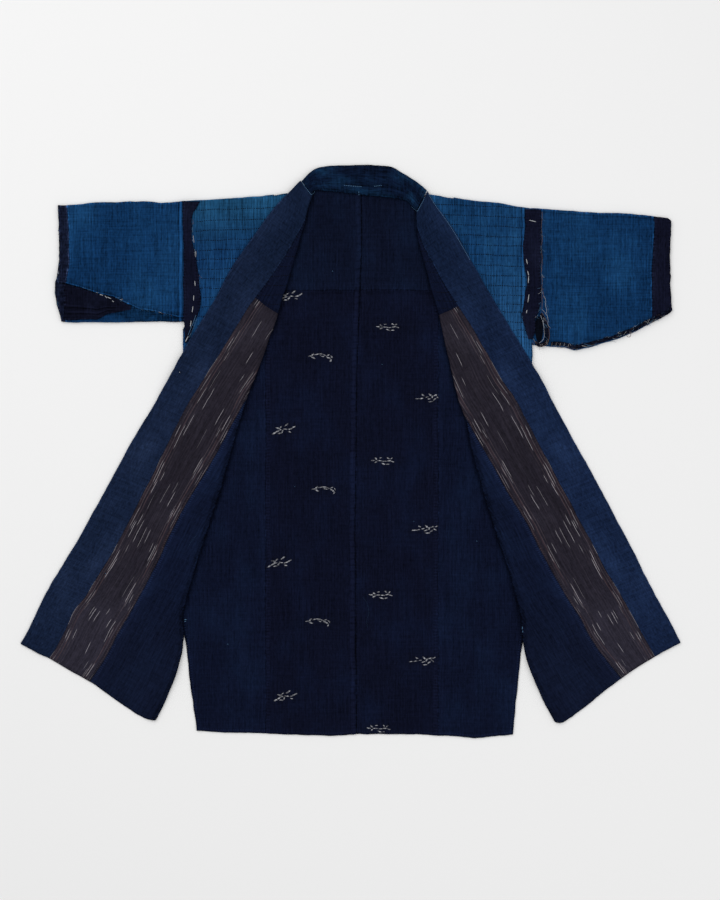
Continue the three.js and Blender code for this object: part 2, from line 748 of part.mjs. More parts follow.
// Thin pieces that lie on the sleeves and the armholes
function makeBand(name, rows) {
  const place = (row, column) => {
    const at = (key) => section(rows, key, row);
    return new THREE.Vector3(mix(at('left'), at('right'), column), at('y'), bandLayer);
  };
  addPiece(name, colours.band, clothWall({
    place,
    rows: evenly(0, rows.length - 1, 2 * (rows.length - 1)),
    columns: [0, 0.5, 1],
    thickness: thinCloth,
  }));
}

function makeSleevePatch() {
  const place = (row, column) => {
    const x = mix(patchFrom, patchTo, row);
    const high = lookup(leftSleeve, 'x', 'slant', x) - 3 * seamGap;
    const low = lookup(patchLow, 'x', 'y', x) + edgeRadius;
    return new THREE.Vector3(x, mix(low, high, column), bandLayer);
  };
  addPiece('sleeve_patch_left', colours.patch, clothWall({
    place, rows: evenly(0, 1, 12), columns: [0, 0.5, 1], thickness: thinCloth,
  }));
}

function makeRawSeam() {
  const place = (row, column) => {
    const x = mix(rawSeamFrom, rawSeamTo, row);
    const edge = lookup(rightSleeve, 'x', 'bottom', x) + edgeRadius;
    return new THREE.Vector3(x, edge + column * rawSeamWidth, bandLayer);
  };
  addPiece('sleeve_seam_right', colours.raw, clothWall({
    place, rows: evenly(0, 1, 20), columns: [0, 0.5, 1], thickness: thinCloth,
  }));
}

function makeUnderarmLoop() {
  const last = loopPath.length - 1;
  const spot = (row) => new THREE.Vector3(section(loopPath, 'x', row), section(loopPath, 'y', row), 0);
  const place = (row, column) => {
    const ahead = spot(Math.min(row + 0.05, last)).sub(spot(Math.max(row - 0.05, 0))).normalize();
    const middle = spot(row);
    const offset = (column - 0.5) * section(loopPath, 'width', row);
    return new THREE.Vector3(middle.x - ahead.y * offset, middle.y + ahead.x * offset, bandLayer);
  };
  addPiece('underarm_loop_right', colours.raw, clothWall({
    place, rows: evenly(0, last, 3 * last), columns: [0, 0.5, 1], thickness: thinCloth,
  }));
}

makeBack();
makeFrontPieces({
  name: 'left', side: -1, sections: leftFront, shoulder: leftShoulder, edge: leftSide,
  bow: 0, brownFrom: brownFromLeft,
});
makeFrontPieces({
  name: 'right', side: 1, sections: rightFront, shoulder: rightShoulder, edge: rightSide,
  bow: hemBowRight, brownFrom: brownFromRight,
});
makeNeckCollar();
makeSleeves();
makeSleevePatch();
makeBand('armhole_band_left', leftBand);
makeBand('armhole_band_right', rightBand);
makeRawSeam();
makeUnderarmLoop();

// The origin is the middle of the footprint, on the surface
const reach = new THREE.Box3().setFromObject(garment);
const middle = reach.getCenter(new THREE.Vector3());
for (const mesh of garment.children) {
  mesh.geometry.translate(-middle.x, -middle.y, -reach.min.z);
}

export default garment;
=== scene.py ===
# A patched indigo work jacket, laid on its back with both fronts turned open.
# Tables and settings are in millimetres, the finished meshes in metres.
import math
import random

import bmesh
import bpy
from mathutils import Matrix, Vector, noise


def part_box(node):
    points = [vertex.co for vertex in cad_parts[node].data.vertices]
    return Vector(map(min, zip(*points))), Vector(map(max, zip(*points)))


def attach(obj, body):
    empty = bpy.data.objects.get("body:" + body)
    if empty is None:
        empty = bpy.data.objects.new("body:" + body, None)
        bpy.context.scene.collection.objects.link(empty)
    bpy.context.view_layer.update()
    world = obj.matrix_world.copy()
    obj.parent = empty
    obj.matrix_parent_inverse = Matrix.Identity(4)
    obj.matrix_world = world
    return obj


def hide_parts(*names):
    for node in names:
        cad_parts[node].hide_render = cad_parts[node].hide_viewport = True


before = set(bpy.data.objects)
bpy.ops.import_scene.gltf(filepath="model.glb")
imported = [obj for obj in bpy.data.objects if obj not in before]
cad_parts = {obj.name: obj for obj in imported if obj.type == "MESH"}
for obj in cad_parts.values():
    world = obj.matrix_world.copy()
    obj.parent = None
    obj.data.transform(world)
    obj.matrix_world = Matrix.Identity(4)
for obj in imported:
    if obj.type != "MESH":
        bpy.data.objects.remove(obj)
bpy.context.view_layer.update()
mm = 0.001
random.seed(7)

# The frame's origin against the tables' one, from one piece whose edges are known
panelEdge = {"left": -144.8, "top": 277.8}
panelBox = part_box("back_centre_left")
shiftX = panelBox[0].x / mm - panelEdge["left"]
shiftY = panelBox[1].y / mm - panelEdge["top"]

# Heights of the layers, as the solids have them
layers = {
    "cloth": 1.8, "collar": 3.6, "step": 2.3, "low": 0.9, "mid": 3.2, "top": 5.5, "band": 5.2,
    "edgeRadius": 1.15, "foldLift": 2.3, "foldFlat": 7, "foldFade": 26, "hemTurn": 6,
    "sinkStart": 16, "sinkEnd": 56,
}
armholes = {"left": -275.2, "right": 313.0}
yokeSeam = 278.0
panelSeams = {"left": -145.0, "right": 151.5}


def table(names, *rows):
    keys = names.split()
    return [dict(zip(keys, row)) for row in rows]


# Sections of the fronts, from the neck to the hem
leftFront = table(
    "foldX foldY tilt outer seam strip",
    (-65, 440, 51, 33, 0, -66), (-72, 417, 43, 42.5, 0, -60), (-80, 384.5, 38, 60, 2.5, -54),
    (-97.5, 326, 36, 81, 17, -46), (-115.5, 265.5, 36, 101, 37, -36), (-137.5, 198, 31, 114, 58, -22),
    (-160, 135, 26, 128.5, 71.5, -9), (-177, 93.5, 24, 134, 80.5, 0), (-197.5, 26.5, 22, 149.5, 98, 13.5),
    (-219.5, -52.5, 21, 172, 114, 33.5), (-247, -140, 21, 189.8, 128, 54.5),
    (-271, -217.5, 21, 205.5, 142.5, 66.5), (-287, -279.5, 22, 223.5, 161.5, 82),
    (-287, -324, 24, 245.5, 184, 103), (-297, -370.5, 26.5, 259.5, 202, 117),
    (-335.5, -463.5, 30, 266.5, 209.5, 130))
rightFront = table(
    "foldX foldY tilt outer seam strip",
    (115, 412, 62, 39, 0, -62), (114, 389, 47, 48.5, 0, -56), (122, 346.5, 36, 65.5, 7, -50),
    (137, 291.5, 28, 80, 20, -42), (153, 235, 23, 95, 36, -32), (167, 171, 24, 115.5, 58, -20),
    (185.5, 93.5, 24, 139.5, 80.5, -8), (199.5, 52.5, 24, 148, 92, 1), (212.5, -11, 22, 165.8, 111, 21),
    (235.5, -93.5, 21, 186, 130, 43.5), (254.5, -149, 21, 196, 140, 56),
    (271.5, -200.5, 21, 205.8, 148.3, 63), (292.5, -276, 22, 221.3, 165.5, 82.5),
    (298, -331, 24, 241.3, 188, 107), (314.5, -388, 27, 253, 201, 120.5),
    (352.5, -466, 31.8, 254, 201.5, 134.5))
lastSection = len(leftFront) - 1

leftShoulder = table("out rise", (0, 0), (22, 3), (44, 3.3), (93, -3.2), (192, -9.7), (212, -10.7))
rightShoulder = table(
    "out rise", (0, 0), (10, 19), (22, 29.5), (57, 23), (91, 18), (141, 14), (177, 5.5), (200, 3))
leftSide = table(
    "y x", (445, -275.2), (221, -275.2), (213, -287), (-270, -290.5), (-300, -289.5), (-312, -287),
    (-325, -283), (-358.5, -279), (-403, -274.3), (-448, -267.7), (-490, -262))
rightSide = table(
    "y x", (445, 313), (180, 313), (-49, 308), (-255, 301), (-310, 299), (-328, 296.5), (-345, 293.5),
    (-412, 287), (-495, 278.5))
centreSeam = table("y x", (450, 20), (357, 20), (281, 17), (137, 12), (-101, 9), (-490, 11))
hemLine = table(
    "x y", (-290, -480), (-264, -481), (-149, -485), (-37, -489), (11, -486), (112, -486), (213, -492.5),
    (290, -485))
leftYokeTop = table(
    "x y", (-275.2, 422.8), (-257, 423.8), (-210, 426.8), (-158, 430.2), (-131.8, 433), (-124, 441),
    (-109, 443.5), (-87, 443), (-66, 443), (-58, 451), (-24, 451), (7, 447), (20, 446))
rightYokeTop = table(
    "x y", (20, 446), (69, 442), (96, 438), (115, 438), (137, 439.5), (169, 433.5), (176.6, 427),
    (206, 424.2), (256, 420.2), (300, 412.6), (313, 410))
neckSections = table(
    "outX outY inX inY outZ inZ crown",
    (-84, 464.5, -66.2, 441.6, 5.6, 7.6, 0.6), (-69.5, 479, -59, 448, 4, 5.4, 2.5),
    (-51, 488.5, -43, 447.5, 1.9, 4.3, 4.5), (-14, 491, -15, 445.5, 1.8, 4.2, 6.5),
    (27, 492.7, 24, 440, 1.8, 4.2, 7.5), (69, 490, 65, 436, 1.8, 4.2, 6.5),
    (86, 481.5, 89, 433.5, 1.9, 4.4, 5.5), (103, 471, 101, 429, 3, 5, 4),
    (119.5, 459.5, 107.5, 420.5, 4.4, 6.4, 2), (132.2, 447.8, 114.6, 413.4, 5.6, 7.6, 0.6))
leftSleeve = table(
    "x top slant bottom",
    (-506, 423, 291, 225), (-489, 423, 290, 224), (-465, 425, 283, 222.5), (-434, 428, 272, 222.5),
    (-405, 428.5, 266, 223), (-381, 429, 254, 223.5), (-358, 428.5, 244, 224), (-327, 427, 239, 224),
    (-296, 429, 232, 224), (-275.2, 430.5, 230.5, 225))
rightSleeve = table(
    "x top bottom",
    (313, 417, 184), (343, 416, 181), (367, 414.5, 180), (386, 413, 175), (410, 411.5, 180), (454, 409, 193),
    (493, 406.5, 208), (519, 404, 222), (548, 400, 237), (553, 393, 243))
leftCuffEdge = table(
    "y seam free", (424, -487, -502), (380, -483, -500.5), (330, -482, -499.5), (305, -485.5, -502),
    (288, -488, -507), (270, -489, -507), (250, -489, -503), (222, -488, -494.5))
rightCuffEdge = table(
    "y seam free", (406, 522, 549), (390, 522.5, 551.5), (340, 519.5, 549.5), (290, 518, 550.3),
    (240, 519, 553.3), (222, 519, 553))
leftBand = table(
    "y left right", (429.5, -288, -257.5), (419, -287.5, -263), (408, -287, -270), (388, -286.5, -271),
    (361, -286, -270), (314, -286, -261), (289, -286, -259), (254, -286, -257), (233, -286, -263),
    (220, -285, -269), (197, -284, -274), (187, -283.5, -280.5))
rightBand = table(
    "y left right", (415.5, 301, 329), (384, 300, 329), (341, 297, 328), (297, 303, 328), (269, 300.5, 328.5),
    (243, 297, 326), (231, 296, 320), (207, 302.5, 317.5), (193, 306, 312.5))
patchLow = table("x y", (-500, 225.5), (-434, 225), (-416, 235), (-374, 244))
loopPath = table(
    "x y width", (328, 237, 3), (332.5, 226, 6), (337, 211, 7.5), (338.5, 197, 7.5), (335, 186.5, 7.5),
    (326, 183, 6.5), (318, 188, 4))

# Soft creases pressed into the cloth: start, end, half width and rise, negative for a trough
creases = table(
    "x0 y0 x1 y1 half rise",
    (-20, 250, -34, -120, 26, 1.1), (70, 240, 92, -60, 30, 1.0), (-200, 120, -230, -430, 34, 1.2),
    (215, 60, 240, -400, 30, 1.1), (-90, -160, -60, -470, 28, 1.0), (60, -180, 90, -470, 34, 1.2),
    (-440, 400, -330, 300, 24, 1.0), (-470, 330, -300, 262, 20, 0.9), (370, 390, 500, 300, 26, 1.0),
    (360, 250, 470, 220, 18, 0.9), (-150, 410, -240, 300, 22, 0.8), (190, 400, 280, 290, 22, 0.8),
    (-330, -120, -470, -350, 22, 1.1), (350, -150, 470, -330, 24, 1.1), (30, 400, -10, 300, 20, 0.7),
    (-380, -330, -430, -420, 20, 1.0), (430, -340, 480, -400, 18, 0.9),
    (258, 292, 309, 250, 8, 1.5), (270, 268, 311, 232, 7, 1.4), (284, 300, 312, 268, 6, 1.1),
    (276, 246, 309, 212, 6, 1.2), (-268, 312, -240, 262, 7, 1.1), (-262, 280, -236, 236, 6, 1.0),
    (-60, 476, 70, 474, 8, 0.8), (-40, 462, 40, 458, 6, -0.7))
edgeDrift = {"broad": 1.3, "broadSize": 44.0, "fine": 0.7, "fineSize": 11.0}
waves = {
    "tall": 1.1, "longX": 120.0, "longY": 170.0, "small": 0.5, "shortX": 38.0, "shortY": 52.0,
    "fine": 0.12, "fineX": 11.0, "fineY": 13.0,
    "creaseSway": 4.0, "creaseLong": 31.0, "creaseFade": 30.0, "creaseEase": 40.0,
}


def clamp(value, low, high):
    return min(high, max(low, value))


def smooth(low, high, value):
    part = clamp((value - low) / (high - low), 0, 1)
    return part * part * (3 - 2 * part)


def mix(a, b, part):
    return a + (b - a) * part


def evenly(low, high, count):
    return [mix(low, high, step / count) for step in range(count + 1)]


def section(rows, name, place):
    at = clamp(place, 0, len(rows) - 1)
    low = min(int(at), len(rows) - 2)
    part = at - low
    before, start = rows[max(low - 1, 0)][name], rows[low][name]
    end, after = rows[low + 1][name], rows[min(low + 2, len(rows) - 1)][name]
    bend = 2 * before - 5 * start + 4 * end - after
    twist = 3 * (start - end) + after - before
    return start + part * (end - before + part * (bend + part * twist)) / 2


def lookup(rows, key, name, value):
    rising = rows[-1][key] > rows[0][key]
    for low, high in zip(rows, rows[1:]):
        if (value <= high[key]) if rising else (value >= high[key]):
            part = clamp((value - low[key]) / (high[key] - low[key]), 0, 1)
            return mix(low[name], high[name], part)
    return rows[-1][name]


def creaseLift(x, y):
    total = 0.0
    for crease in creases:
        dx, dy = crease["x1"] - crease["x0"], crease["y1"] - crease["y0"]
        span = math.hypot(dx, dy)
        along = ((x - crease["x0"]) * dx + (y - crease["y0"]) * dy) / span
        across = ((x - crease["x0"]) * dy - (y - crease["y0"]) * dx) / span
        across += waves["creaseSway"] * math.sin(along / waves["creaseLong"])  # never quite straight
        fade, ease = waves["creaseFade"], waves["creaseEase"]
        if abs(across) < crease["half"] and -fade < along < span + fade:
            ends = smooth(-fade, ease, along) * (1 - smooth(span - ease, span + fade, along))
            total += crease["rise"] * ends * (1 - smooth(0, crease["half"], abs(across)))
    return total


def lift(x, y):
    broad = 0.5 + 0.5 * noise.noise(Vector((x / waves["longX"], y / waves["longY"], 3.1)))
    small = 0.5 + 0.5 * noise.noise(Vector((x / waves["shortX"], y / waves["shortY"], 8.7)))
    fine = noise.noise(Vector((x / waves["fineX"], y / waves["fineY"], 1.3)))
    return waves["tall"] * broad + waves["small"] * small + waves["fine"] * fine + creaseLift(x, y)


def drift(x, y, seed):
    broad = noise.noise(Vector((x / edgeDrift["broadSize"], y / edgeDrift["broadSize"], seed)))
    fine = noise.noise(Vector((x / edgeDrift["fineSize"], y / edgeDrift["fineSize"], seed + 5)))
    return edgeDrift["broad"] * broad + edgeDrift["fine"] * fine


def toFrame(x, y, z):
    x, y = x + drift(x, y, 2.5), y + drift(x, y, 14.5)
    return Vector(((x + shiftX) * mm, (y + shiftY) * mm, (z + lift(x, y)) * mm))


# Shader values that work like numbers: each sum, product or difference is a Math node
class ShaderValue:
    def __init__(self, tree, socket):
        self.tree = tree
        self.socket = socket

    def maths(self, operation, *others):
        return addNode(self.tree, "Math", dict(enumerate((self, *others))), operation=operation)

    def __add__(self, other):
        return self.maths("ADD", other)

    def __sub__(self, other):
        return self.maths("SUBTRACT", other)

    def __rsub__(self, other):
        return addNode(self.tree, "Math", {0: other, 1: self}, operation="SUBTRACT")

    def __mul__(self, other):
        return self.maths("MULTIPLY", other)

    def __truediv__(self, other):
        return self.maths("DIVIDE", other)

    def __abs__(self):
        return self.maths("ABSOLUTE")

    __radd__ = __add__
    __rmul__ = __mul__


def plug(value, socket):
    if isinstance(value, ShaderValue):
        value.tree.links.new(value.socket, socket)
    elif socket.type == "RGBA":
        socket.default_value = (*value, 1)
    else:
        socket.default_value = value


def addNode(tree, kind, inputs, output=0, **settings):
    node = tree.nodes.new("ShaderNode" + kind)
    for key, value in settings.items():
        setattr(node, key, value)
    for key, value in inputs.items():
        plug(value, node.inputs[key])
    return ShaderValue(tree, node.outputs[output])


def uvOf(tree, name):
    return addNode(tree, "UVMap", {}, uv_map=name)


def parts(vector):
    x = addNode(vector.tree, "SeparateXYZ", {0: vector})
    return x, ShaderValue(x.tree, x.socket.node.outputs[1])


def joined(x, y):
    return addNode(x.tree, "CombineXYZ", {0: x, 1: y})


def vectorMaths(operation, first, *others, output=0):
    return addNode(first.tree, "VectorMath", dict(enumerate((first, *others))), output, operation=operation)


def stretched(vector, scales, offset=(0, 0, 0)):
    return addNode(vector.tree, "Mapping", {"Vector": vector, "Scale": scales, "Location": offset})


def noiseOf(vector, detail, rough=0.55, output="Fac"):
    return addNode(vector.tree, "TexNoise", {
        "Vector": vector, "Scale": 1.0, "Detail": detail, "Roughness": rough}, output)


def randomOf(value, seed):
    return addNode(value.tree, "TexWhiteNoise", {"W": value + seed}, "Value", noise_dimensions="1D")


def ramp(value, low, high, bottom=0.0, top=1.0):
    return addNode(value.tree, "MapRange", {
        "Value": value, "From Min": low, "From Max": high, "To Min": bottom, "To Max": top,
    }, "Result", interpolation_type="SMOOTHSTEP")


def blendColour(factor, first, second, kind="MIX"):
    tree = (first if isinstance(first, ShaderValue) else factor).tree
    return addNode(tree, "Mix", {0: factor, 6: first, 7: second}, 2, data_type="RGBA", blend_type=kind)


def bumpOf(height, strength, distance):
    return addNode(height.tree, "Bump", {"Strength": strength, "Distance": distance * mm, "Height": height})


def least(first, *others):
    for other in others:
        first = first.maths("MINIMUM", other)
    return first


def stripeAt(value, middle, wide):
    return ramp(abs(value - middle * mm), wide * mm * 0.2, wide * mm * 0.5, 1.0, 0.0)


def newMaterial(name, roughness, specular):
    material = bpy.data.materials.new(name)
    material.use_nodes = True
    shader = material.node_tree.nodes["Principled BSDF"]
    shader.inputs["Roughness"].default_value = roughness
    shader.inputs["Specular IOR Level"].default_value = specular
    return material, shader


# Every cloth: yarns, slubs, cloudy dye, wear and ticks by its edges, and painted light and shade: of
# the puckers and ridges by its edges, in its seams and by the folds. look gives the amounts, and extra,
# where it is given, draws what is dyed or woven in, or painted shade, before the wear. Sides are 0 low,
# 1 high, 2 top and 3 bottom, with distances from them in millimetres. A line is a side, its distance,
# width and gain in brightness. Ticks have a pitch and a share filled as well.
clothLook = {
    "base": (0.006, 0.010, 0.026), "pale": (0.012, 0.020, 0.045), "streak": 0.8, "slub": 0.7, "weft": 0.4,
    "cloud": 0.45, "cloudSize": 14.0, "rib": 0.0, "ribPitch": 2.6, "yarn": 1.1, "yarnShade": 0.16,
    "bump": 0.4, "edgeWear": 0.25, "edgeWearReach": 3.2, "wornGain": 3.2, "fleck": 0.0, "fleckGain": 4.0,
    "pucker": 0.25, "puckerPitch": 5.2, "puckerReach": 9.0, "seam": 0.55, "seamShadeWide": 1.6,
    "lines": (), "ticks": (), "foldShade": 0.0, "foldReach": 9.0, "darkest": 0.22,
}
# How each noise of the yarns is stretched along and across, with its detail and roughness
yarnNoises = {
    "streak": ((390, 13, 1), 4.0, 0.65), "slub": ((340, 120, 1), 3.0, 0.65),
    "weft": ((15, 350, 1), 4.0, 0.65),
}


def makeCloth(name, changes, extra=None):
    look = {**clothLook, **changes}
    material, shader = newMaterial(name, 0.95, 0.03)
    tree = material.node_tree
    cloth = uvOf(tree, "cloth")
    across, along = parts(cloth)
    sides = (*parts(uvOf(tree, "edge")), *parts(uvOf(tree, "ends")))
    edge = least(*sides[:3], abs(sides[3]))
    noises = {
        kind: noiseOf(stretched(cloth, scales), detail, rough)
        for kind, (scales, detail, rough) in yarnNoises.items()}
    size = look["cloudSize"]
    noises["cloud"] = noiseOf(stretched(cloth, (size, size * 0.6, 1)), 5.0, 0.6)
    wobble = noiseOf(stretched(cloth, (60, 60, 1)), 2.0)
    turns = lambda value, pitch: value * (2 * math.pi / (pitch * mm))
    overUnder = turns(across, look["yarn"]).maths("SINE") * turns(along, look["yarn"]).maths("SINE")
    shade = overUnder * look["yarnShade"] + 1.0
    for kind, value in noises.items():
        shade += (value - 0.5) * (look[kind] * 2)
    if look["rib"]:
        shade += (noises["cloud"] * 6.0 + turns(across, look["ribPitch"])).maths("SINE") * look["rib"]
    ripple = (wobble * 5.0 + turns(along, look["puckerPitch"])).maths("SINE")
    pucker = ripple * ramp(edge, 0.0, look["puckerReach"] * mm, 1.0, 0.0)
    # painted light and shade of the puckers along the edges, which the bump raises as well
    shade += pucker * look["pucker"]
    # painted shade in the groove of each seam, darkest at the edge
    shade -= ramp(edge, 0.3 * mm, look["seamShadeWide"] * mm, 1.0, 0.0) * look["seam"]
    # painted shadow that the fronts' folds cast on the back panels beside them
    if look["foldShade"]:
        far = parts(uvOf(tree, "fold"))[0]
        shade -= ramp(far, 0.0, look["foldReach"] * mm, 1.0, 0.0) * look["foldShade"]
    patchy = ramp(wobble, 0.30, 0.55, 0.45, 1.0)
    for side, at, wide, gain in look["lines"]:
        shade += stripeAt(sides[side], at, wide) * patchy * gain
    for side, at, wide, pitch, fill, gain in look["ticks"]:
        run = along if side < 2 else across
        far = abs((wobble * 0.7 + run / (pitch * mm)).maths("FRACT") - 0.5)
        shade += ramp(far, fill * 0.3, fill * 0.6, 1.0, 0.0) * stripeAt(sides[side], at, wide) * gain
    colour = blendColour(ramp(noises["cloud"], 0.42, 0.70), look["base"], look["pale"])
    if extra:
        colour = extra(colour, across, along, *sides)
    brighter = lambda gain: tuple(gain * part for part in look["pale"])
    worn = ramp(edge, 0.0, look["edgeWearReach"] * mm, 1.0, 0.0) * ramp(noises["slub"], 0.50, 0.66)
    colour = blendColour(worn * look["edgeWear"], colour, brighter(look["wornGain"]))
    if look["fleck"]:
        fleck = ramp(noises["slub"], 0.66, 0.76) * look["fleck"]
        colour = blendColour(fleck, colour, brighter(look["fleckGain"]))
    light = shade.maths("MAXIMUM", look["darkest"])
    grey = addNode(tree, "CombineColor", {0: light, 1: light, 2: light})
    plug(blendColour(1.0, colour, grey, "MULTIPLY"), shader.inputs["Base Color"])
    height = overUnder * 0.35 + noises["streak"] * 0.9 + noises["slub"] * 0.7 + pucker * 1.2
    plug(bumpOf(height, look["bump"], 0.4), shader.inputs["Normal"])
    return material


# White woven-in sprigs of the centre panels: soft-edged leaves about a middle, each
# a place, a turn in degrees, a length and a width
sprigs = {
    "bough": table(
        "x y turn length width", (-18, -6.5, 28, 7, 2.8), (-12.5, -3.5, 22, 7, 2.6), (-8, -1, 12, 7, 2.4),
        (-11, 2, -12, 8, 2.2), (-6, 4, 38, 6, 2.0), (-8.5, -6.5, 4, 7, 2.4), (-3, -3.5, 62, 6, 2.2),
        (2, 0, -8, 7, 2.0), (4.5, 7.5, 40, 8, 2.6), (11, 0.5, 22, 9, 2.4), (16.5, 3.5, 34, 7, 2.6),
        (9.5, -4.5, -10, 5, 2.4)),
    "arc": table(
        "x y turn length width", (-19, 1, 8, 6, 1.6), (-14, 3.5, 40, 6, 2.6), (-13.5, -1.5, -24, 7, 2.9),
        (-7, 4, 14, 9, 1.6), (0, 4.6, -4, 9, 1.5), (7, 2.4, -22, 9, 1.7), (2, 1, -16, 8, 1.4),
        (13, -1.5, -32, 9, 3.1), (12.5, 3, 20, 5, 2.0), (16.5, -6, 62, 5, 2.3), (18, 0.5, -50, 5, 2.0)),
    "wing": table(
        "x y turn length width", (-17, 0.8, -6, 7, 2.2), (-12, 3.5, -42, 5, 2.8), (-11.5, -2, 26, 6, 2.3),
        (-5, 0.2, -4, 9, 2.0), (3, -0.6, 2, 8, 1.6), (10.5, 0.6, 10, 7, 2.4), (16.5, -0.6, -14, 6, 2.0),
        (1, -5, -20, 7, 2.6), (8, -5.4, 8, 5, 2.0), (8.5, 5, -34, 5, 2.4), (14, 4.6, 48, 4, 1.8),
        (-4, 5.4, 10, 4, 1.6)),
    "pair": table(
        "x y turn length width", (-21, -2.5, 6, 7, 1.5), (-14, -2, 10, 7, 2.1), (-11, 3.5, -30, 5, 2.2),
        (-5, 0, 8, 5, 1.9), (1.5, 3.5, -42, 7, 2.9), (0, -3, 14, 6, 2.3), (5.5, 0.5, 70, 5, 2.9),
        (3, -7.5, 0, 8, 2.0), (9.5, -4, 30, 6, 2.6), (10.5, 3, 16, 6, 2.6), (15, -1, -38, 6, 2.1),
        (18, 4, 24, 6, 2.1)),
}
sprigLook = {
    "thin": 0.74, "spread": (6.0, 1.7), "colour": (0.50, 0.51, 0.54), "fill": 0.92,
    "haloColour": (0.0030, 0.0040, 0.011), "haloFill": 0.35,
}
# Where they repeat: the first middle, the step down, and the drift of each repeat sideways
sprigRows = {
    "left": [
        {"kind": "bough", "x": -101.5, "y": 267.5, "step": 229.3, "drift": (0, -12, -19, -8.5)},
        {"kind": "arc", "x": -50, "y": 162.5, "step": 227.8, "drift": (0, 5, -3.5)},
    ],
    "right": [
        {"kind": "wing", "x": 65.3, "y": 214, "step": 230.3, "drift": (0, -8.5, -12, -15.5)},
        {"kind": "pair", "x": 135.8, "y": 93.7, "step": 226.2, "drift": (0, -5, -10)},
    ],
}


def sprigMask(across, along, row):
    step = row["step"] * mm
    down = (row["y"] * mm - along) / step
    which = down.maths("ROUND")
    localY = (which - down) * step
    middleX = row["x"] * mm
    for count, drift in enumerate(row["drift"]):
        if drift:
            middleX += which.maths("COMPARE", count, 0.1) * (drift * mm)
    localX = across - middleX
    both = joined(across, along)
    reach = (*(part * mm for part in sprigLook["spread"]), 0)
    fray = noiseOf(stretched(both, (260, 1300, 1)), 2.0, 0.5, "Color")
    local = vectorMaths("SUBTRACT", joined(localX, localY), tuple(part / 2 for part in reach))
    local = vectorMaths("MULTIPLY_ADD", fray, reach, local)
    gaps = []
    for leaf in sprigs[row["kind"]]:
        leafSpace = addNode(both.tree, "Mapping", {
            "Vector": local, "Location": (leaf["x"] * mm, leaf["y"] * mm, 0),
            "Rotation": (0, 0, math.radians(leaf["turn"])),
            "Scale": (leaf["length"] * mm / 2, leaf["width"] * sprigLook["thin"] * mm / 2, 1),
        }, vector_type="TEXTURE")
        gaps.append(vectorMaths("LENGTH", leafSpace, output="Value"))
    white = ramp(least(*gaps), 0.5, 1.3, 1.0, 0.0)
    white *= ramp(noiseOf(stretched(both, (380, 900, 1)), 2.0), 0.34, 0.56, 0.3, 1)
    white *= ramp(noiseOf(stretched(both, (170, 420, 1), (3.7, 1.9, 0)), 1.0), 0.36, 0.60, 0.28, 1)
    halo = ramp(abs(localY), 5 * mm, 15 * mm, 1, 0) * ramp(abs(localX), 16 * mm, 60 * mm, 1, 0)
    return white, halo


def sprigPattern(side):
    def draw(colour, across, along, *sides):
        for row in sprigRows[side]:
            white, halo = sprigMask(across, along, row)
            colour = blendColour(halo * sprigLook["haloFill"], colour, sprigLook["haloColour"])
            colour = blendColour(white * sprigLook["fill"], colour, sprigLook["colour"])
        return colour
    return draw


# Fine pale dashes of the brown strips, thickest near both edges, with pale and rusty yarns there
dashLook = {
    "pitch": 3.7, "wide": 0.058, "repeat": 84.0, "zone": 14.8, "stagger": 0.36, "long": 0.23, "more": 0.38,
    "soft": 0.09, "edgeFrom": 12.0, "edgeReach": 23.0, "atEdge": 0.84, "inMiddle": 0.30,
    "colour": (0.40, 0.38, 0.41), "bright": 0.18, "brighter": 0.70,
    "pinPitch": 4.3, "pinFill": 0.42, "pinColour": (0.13, 0.10, 0.11),
    "rustAt": (3.5, 10.5), "rustWide": 3.4, "rustFill": 0.45, "rustColour": (0.046, 0.026, 0.031),
    "footReach": 330.0, "footFill": 0.7, "footColour": (0.029, 0.027, 0.042),
}


def dashPattern(colour, across, along, nearLow, nearHigh, top, bottom):
    look = dashLook
    edge = least(nearLow, nearHigh)
    apart = across / (look["pitch"] * mm)
    column = apart.maths("FLOOR")
    zone = (across / (look["zone"] * mm)).maths("FLOOR")
    run = along / (look["repeat"] * mm) + (randomOf(column, 3.3) * look["stagger"] + randomOf(zone, 9.1))
    place = run.maths("FRACT")
    cell = column * 17.0 + run.maths("FLOOR")
    left = randomOf(cell, 5.7) * look["more"] + look["long"] - place
    far = abs(apart.maths("FRACT") - (randomOf(column, 1.9) * 0.4 + 0.3))
    byEdge = lambda near, middle: ramp(edge, look["edgeFrom"] * mm, look["edgeReach"] * mm, near, middle)
    dash = ramp(place, 0, look["soft"]) * ramp(left, 0, look["soft"])
    dash *= ramp(far, look["wide"], look["wide"] * 2, 1.0, 0.0)
    dash *= randomOf(cell, 12.4).maths("LESS_THAN", byEdge(look["atEdge"], look["inMiddle"]))
    dash *= randomOf(cell, 20.6) * look["brighter"] + look["bright"]
    patchy = ramp(noiseOf(stretched(joined(across, along), (120, 9, 1)), 2.0), 0.38, 0.6)
    pin = abs((across / (look["pinPitch"] * mm)).maths("FRACT") - 0.5)
    pin = ramp(pin, 0.06, 0.2, look["pinFill"], 0.0) * patchy * byEdge(1.0, 0.1)
    foot = ramp(along, 0.0, look["footReach"] * mm, look["footFill"], 0.0)
    colour = blendColour(foot, colour, look["footColour"])
    colour = blendColour(pin, colour, look["pinColour"])
    for at in look["rustAt"]:
        rust = stripeAt(edge, at, look["rustWide"]) * patchy * look["rustFill"]
        colour = blendColour(rust, colour, look["rustColour"])
    return blendColour(dash, colour, look["colour"])


# Cloth that is paler, greener or darker towards one end: over which stretch, how much and to what
tones = {
    "shoulder": {"side": "along", "reach": (330, 450), "fill": (0.0, 0.6), "colour": (0.0145, 0.082, 0.165)},
    "foot": {"side": "along", "reach": (210, 340), "fill": (0.75, 0.0), "colour": (0.0150, 0.070, 0.178)},
    "hem": {"side": "bottom", "reach": (60, 260), "fill": (0.6, 0.0), "colour": (0.0050, 0.0076, 0.0210)},
    "collar": {"side": "top", "reach": (0, 420), "fill": (0.65, 0.0), "colour": (0.0048, 0.0105, 0.0300)},
}


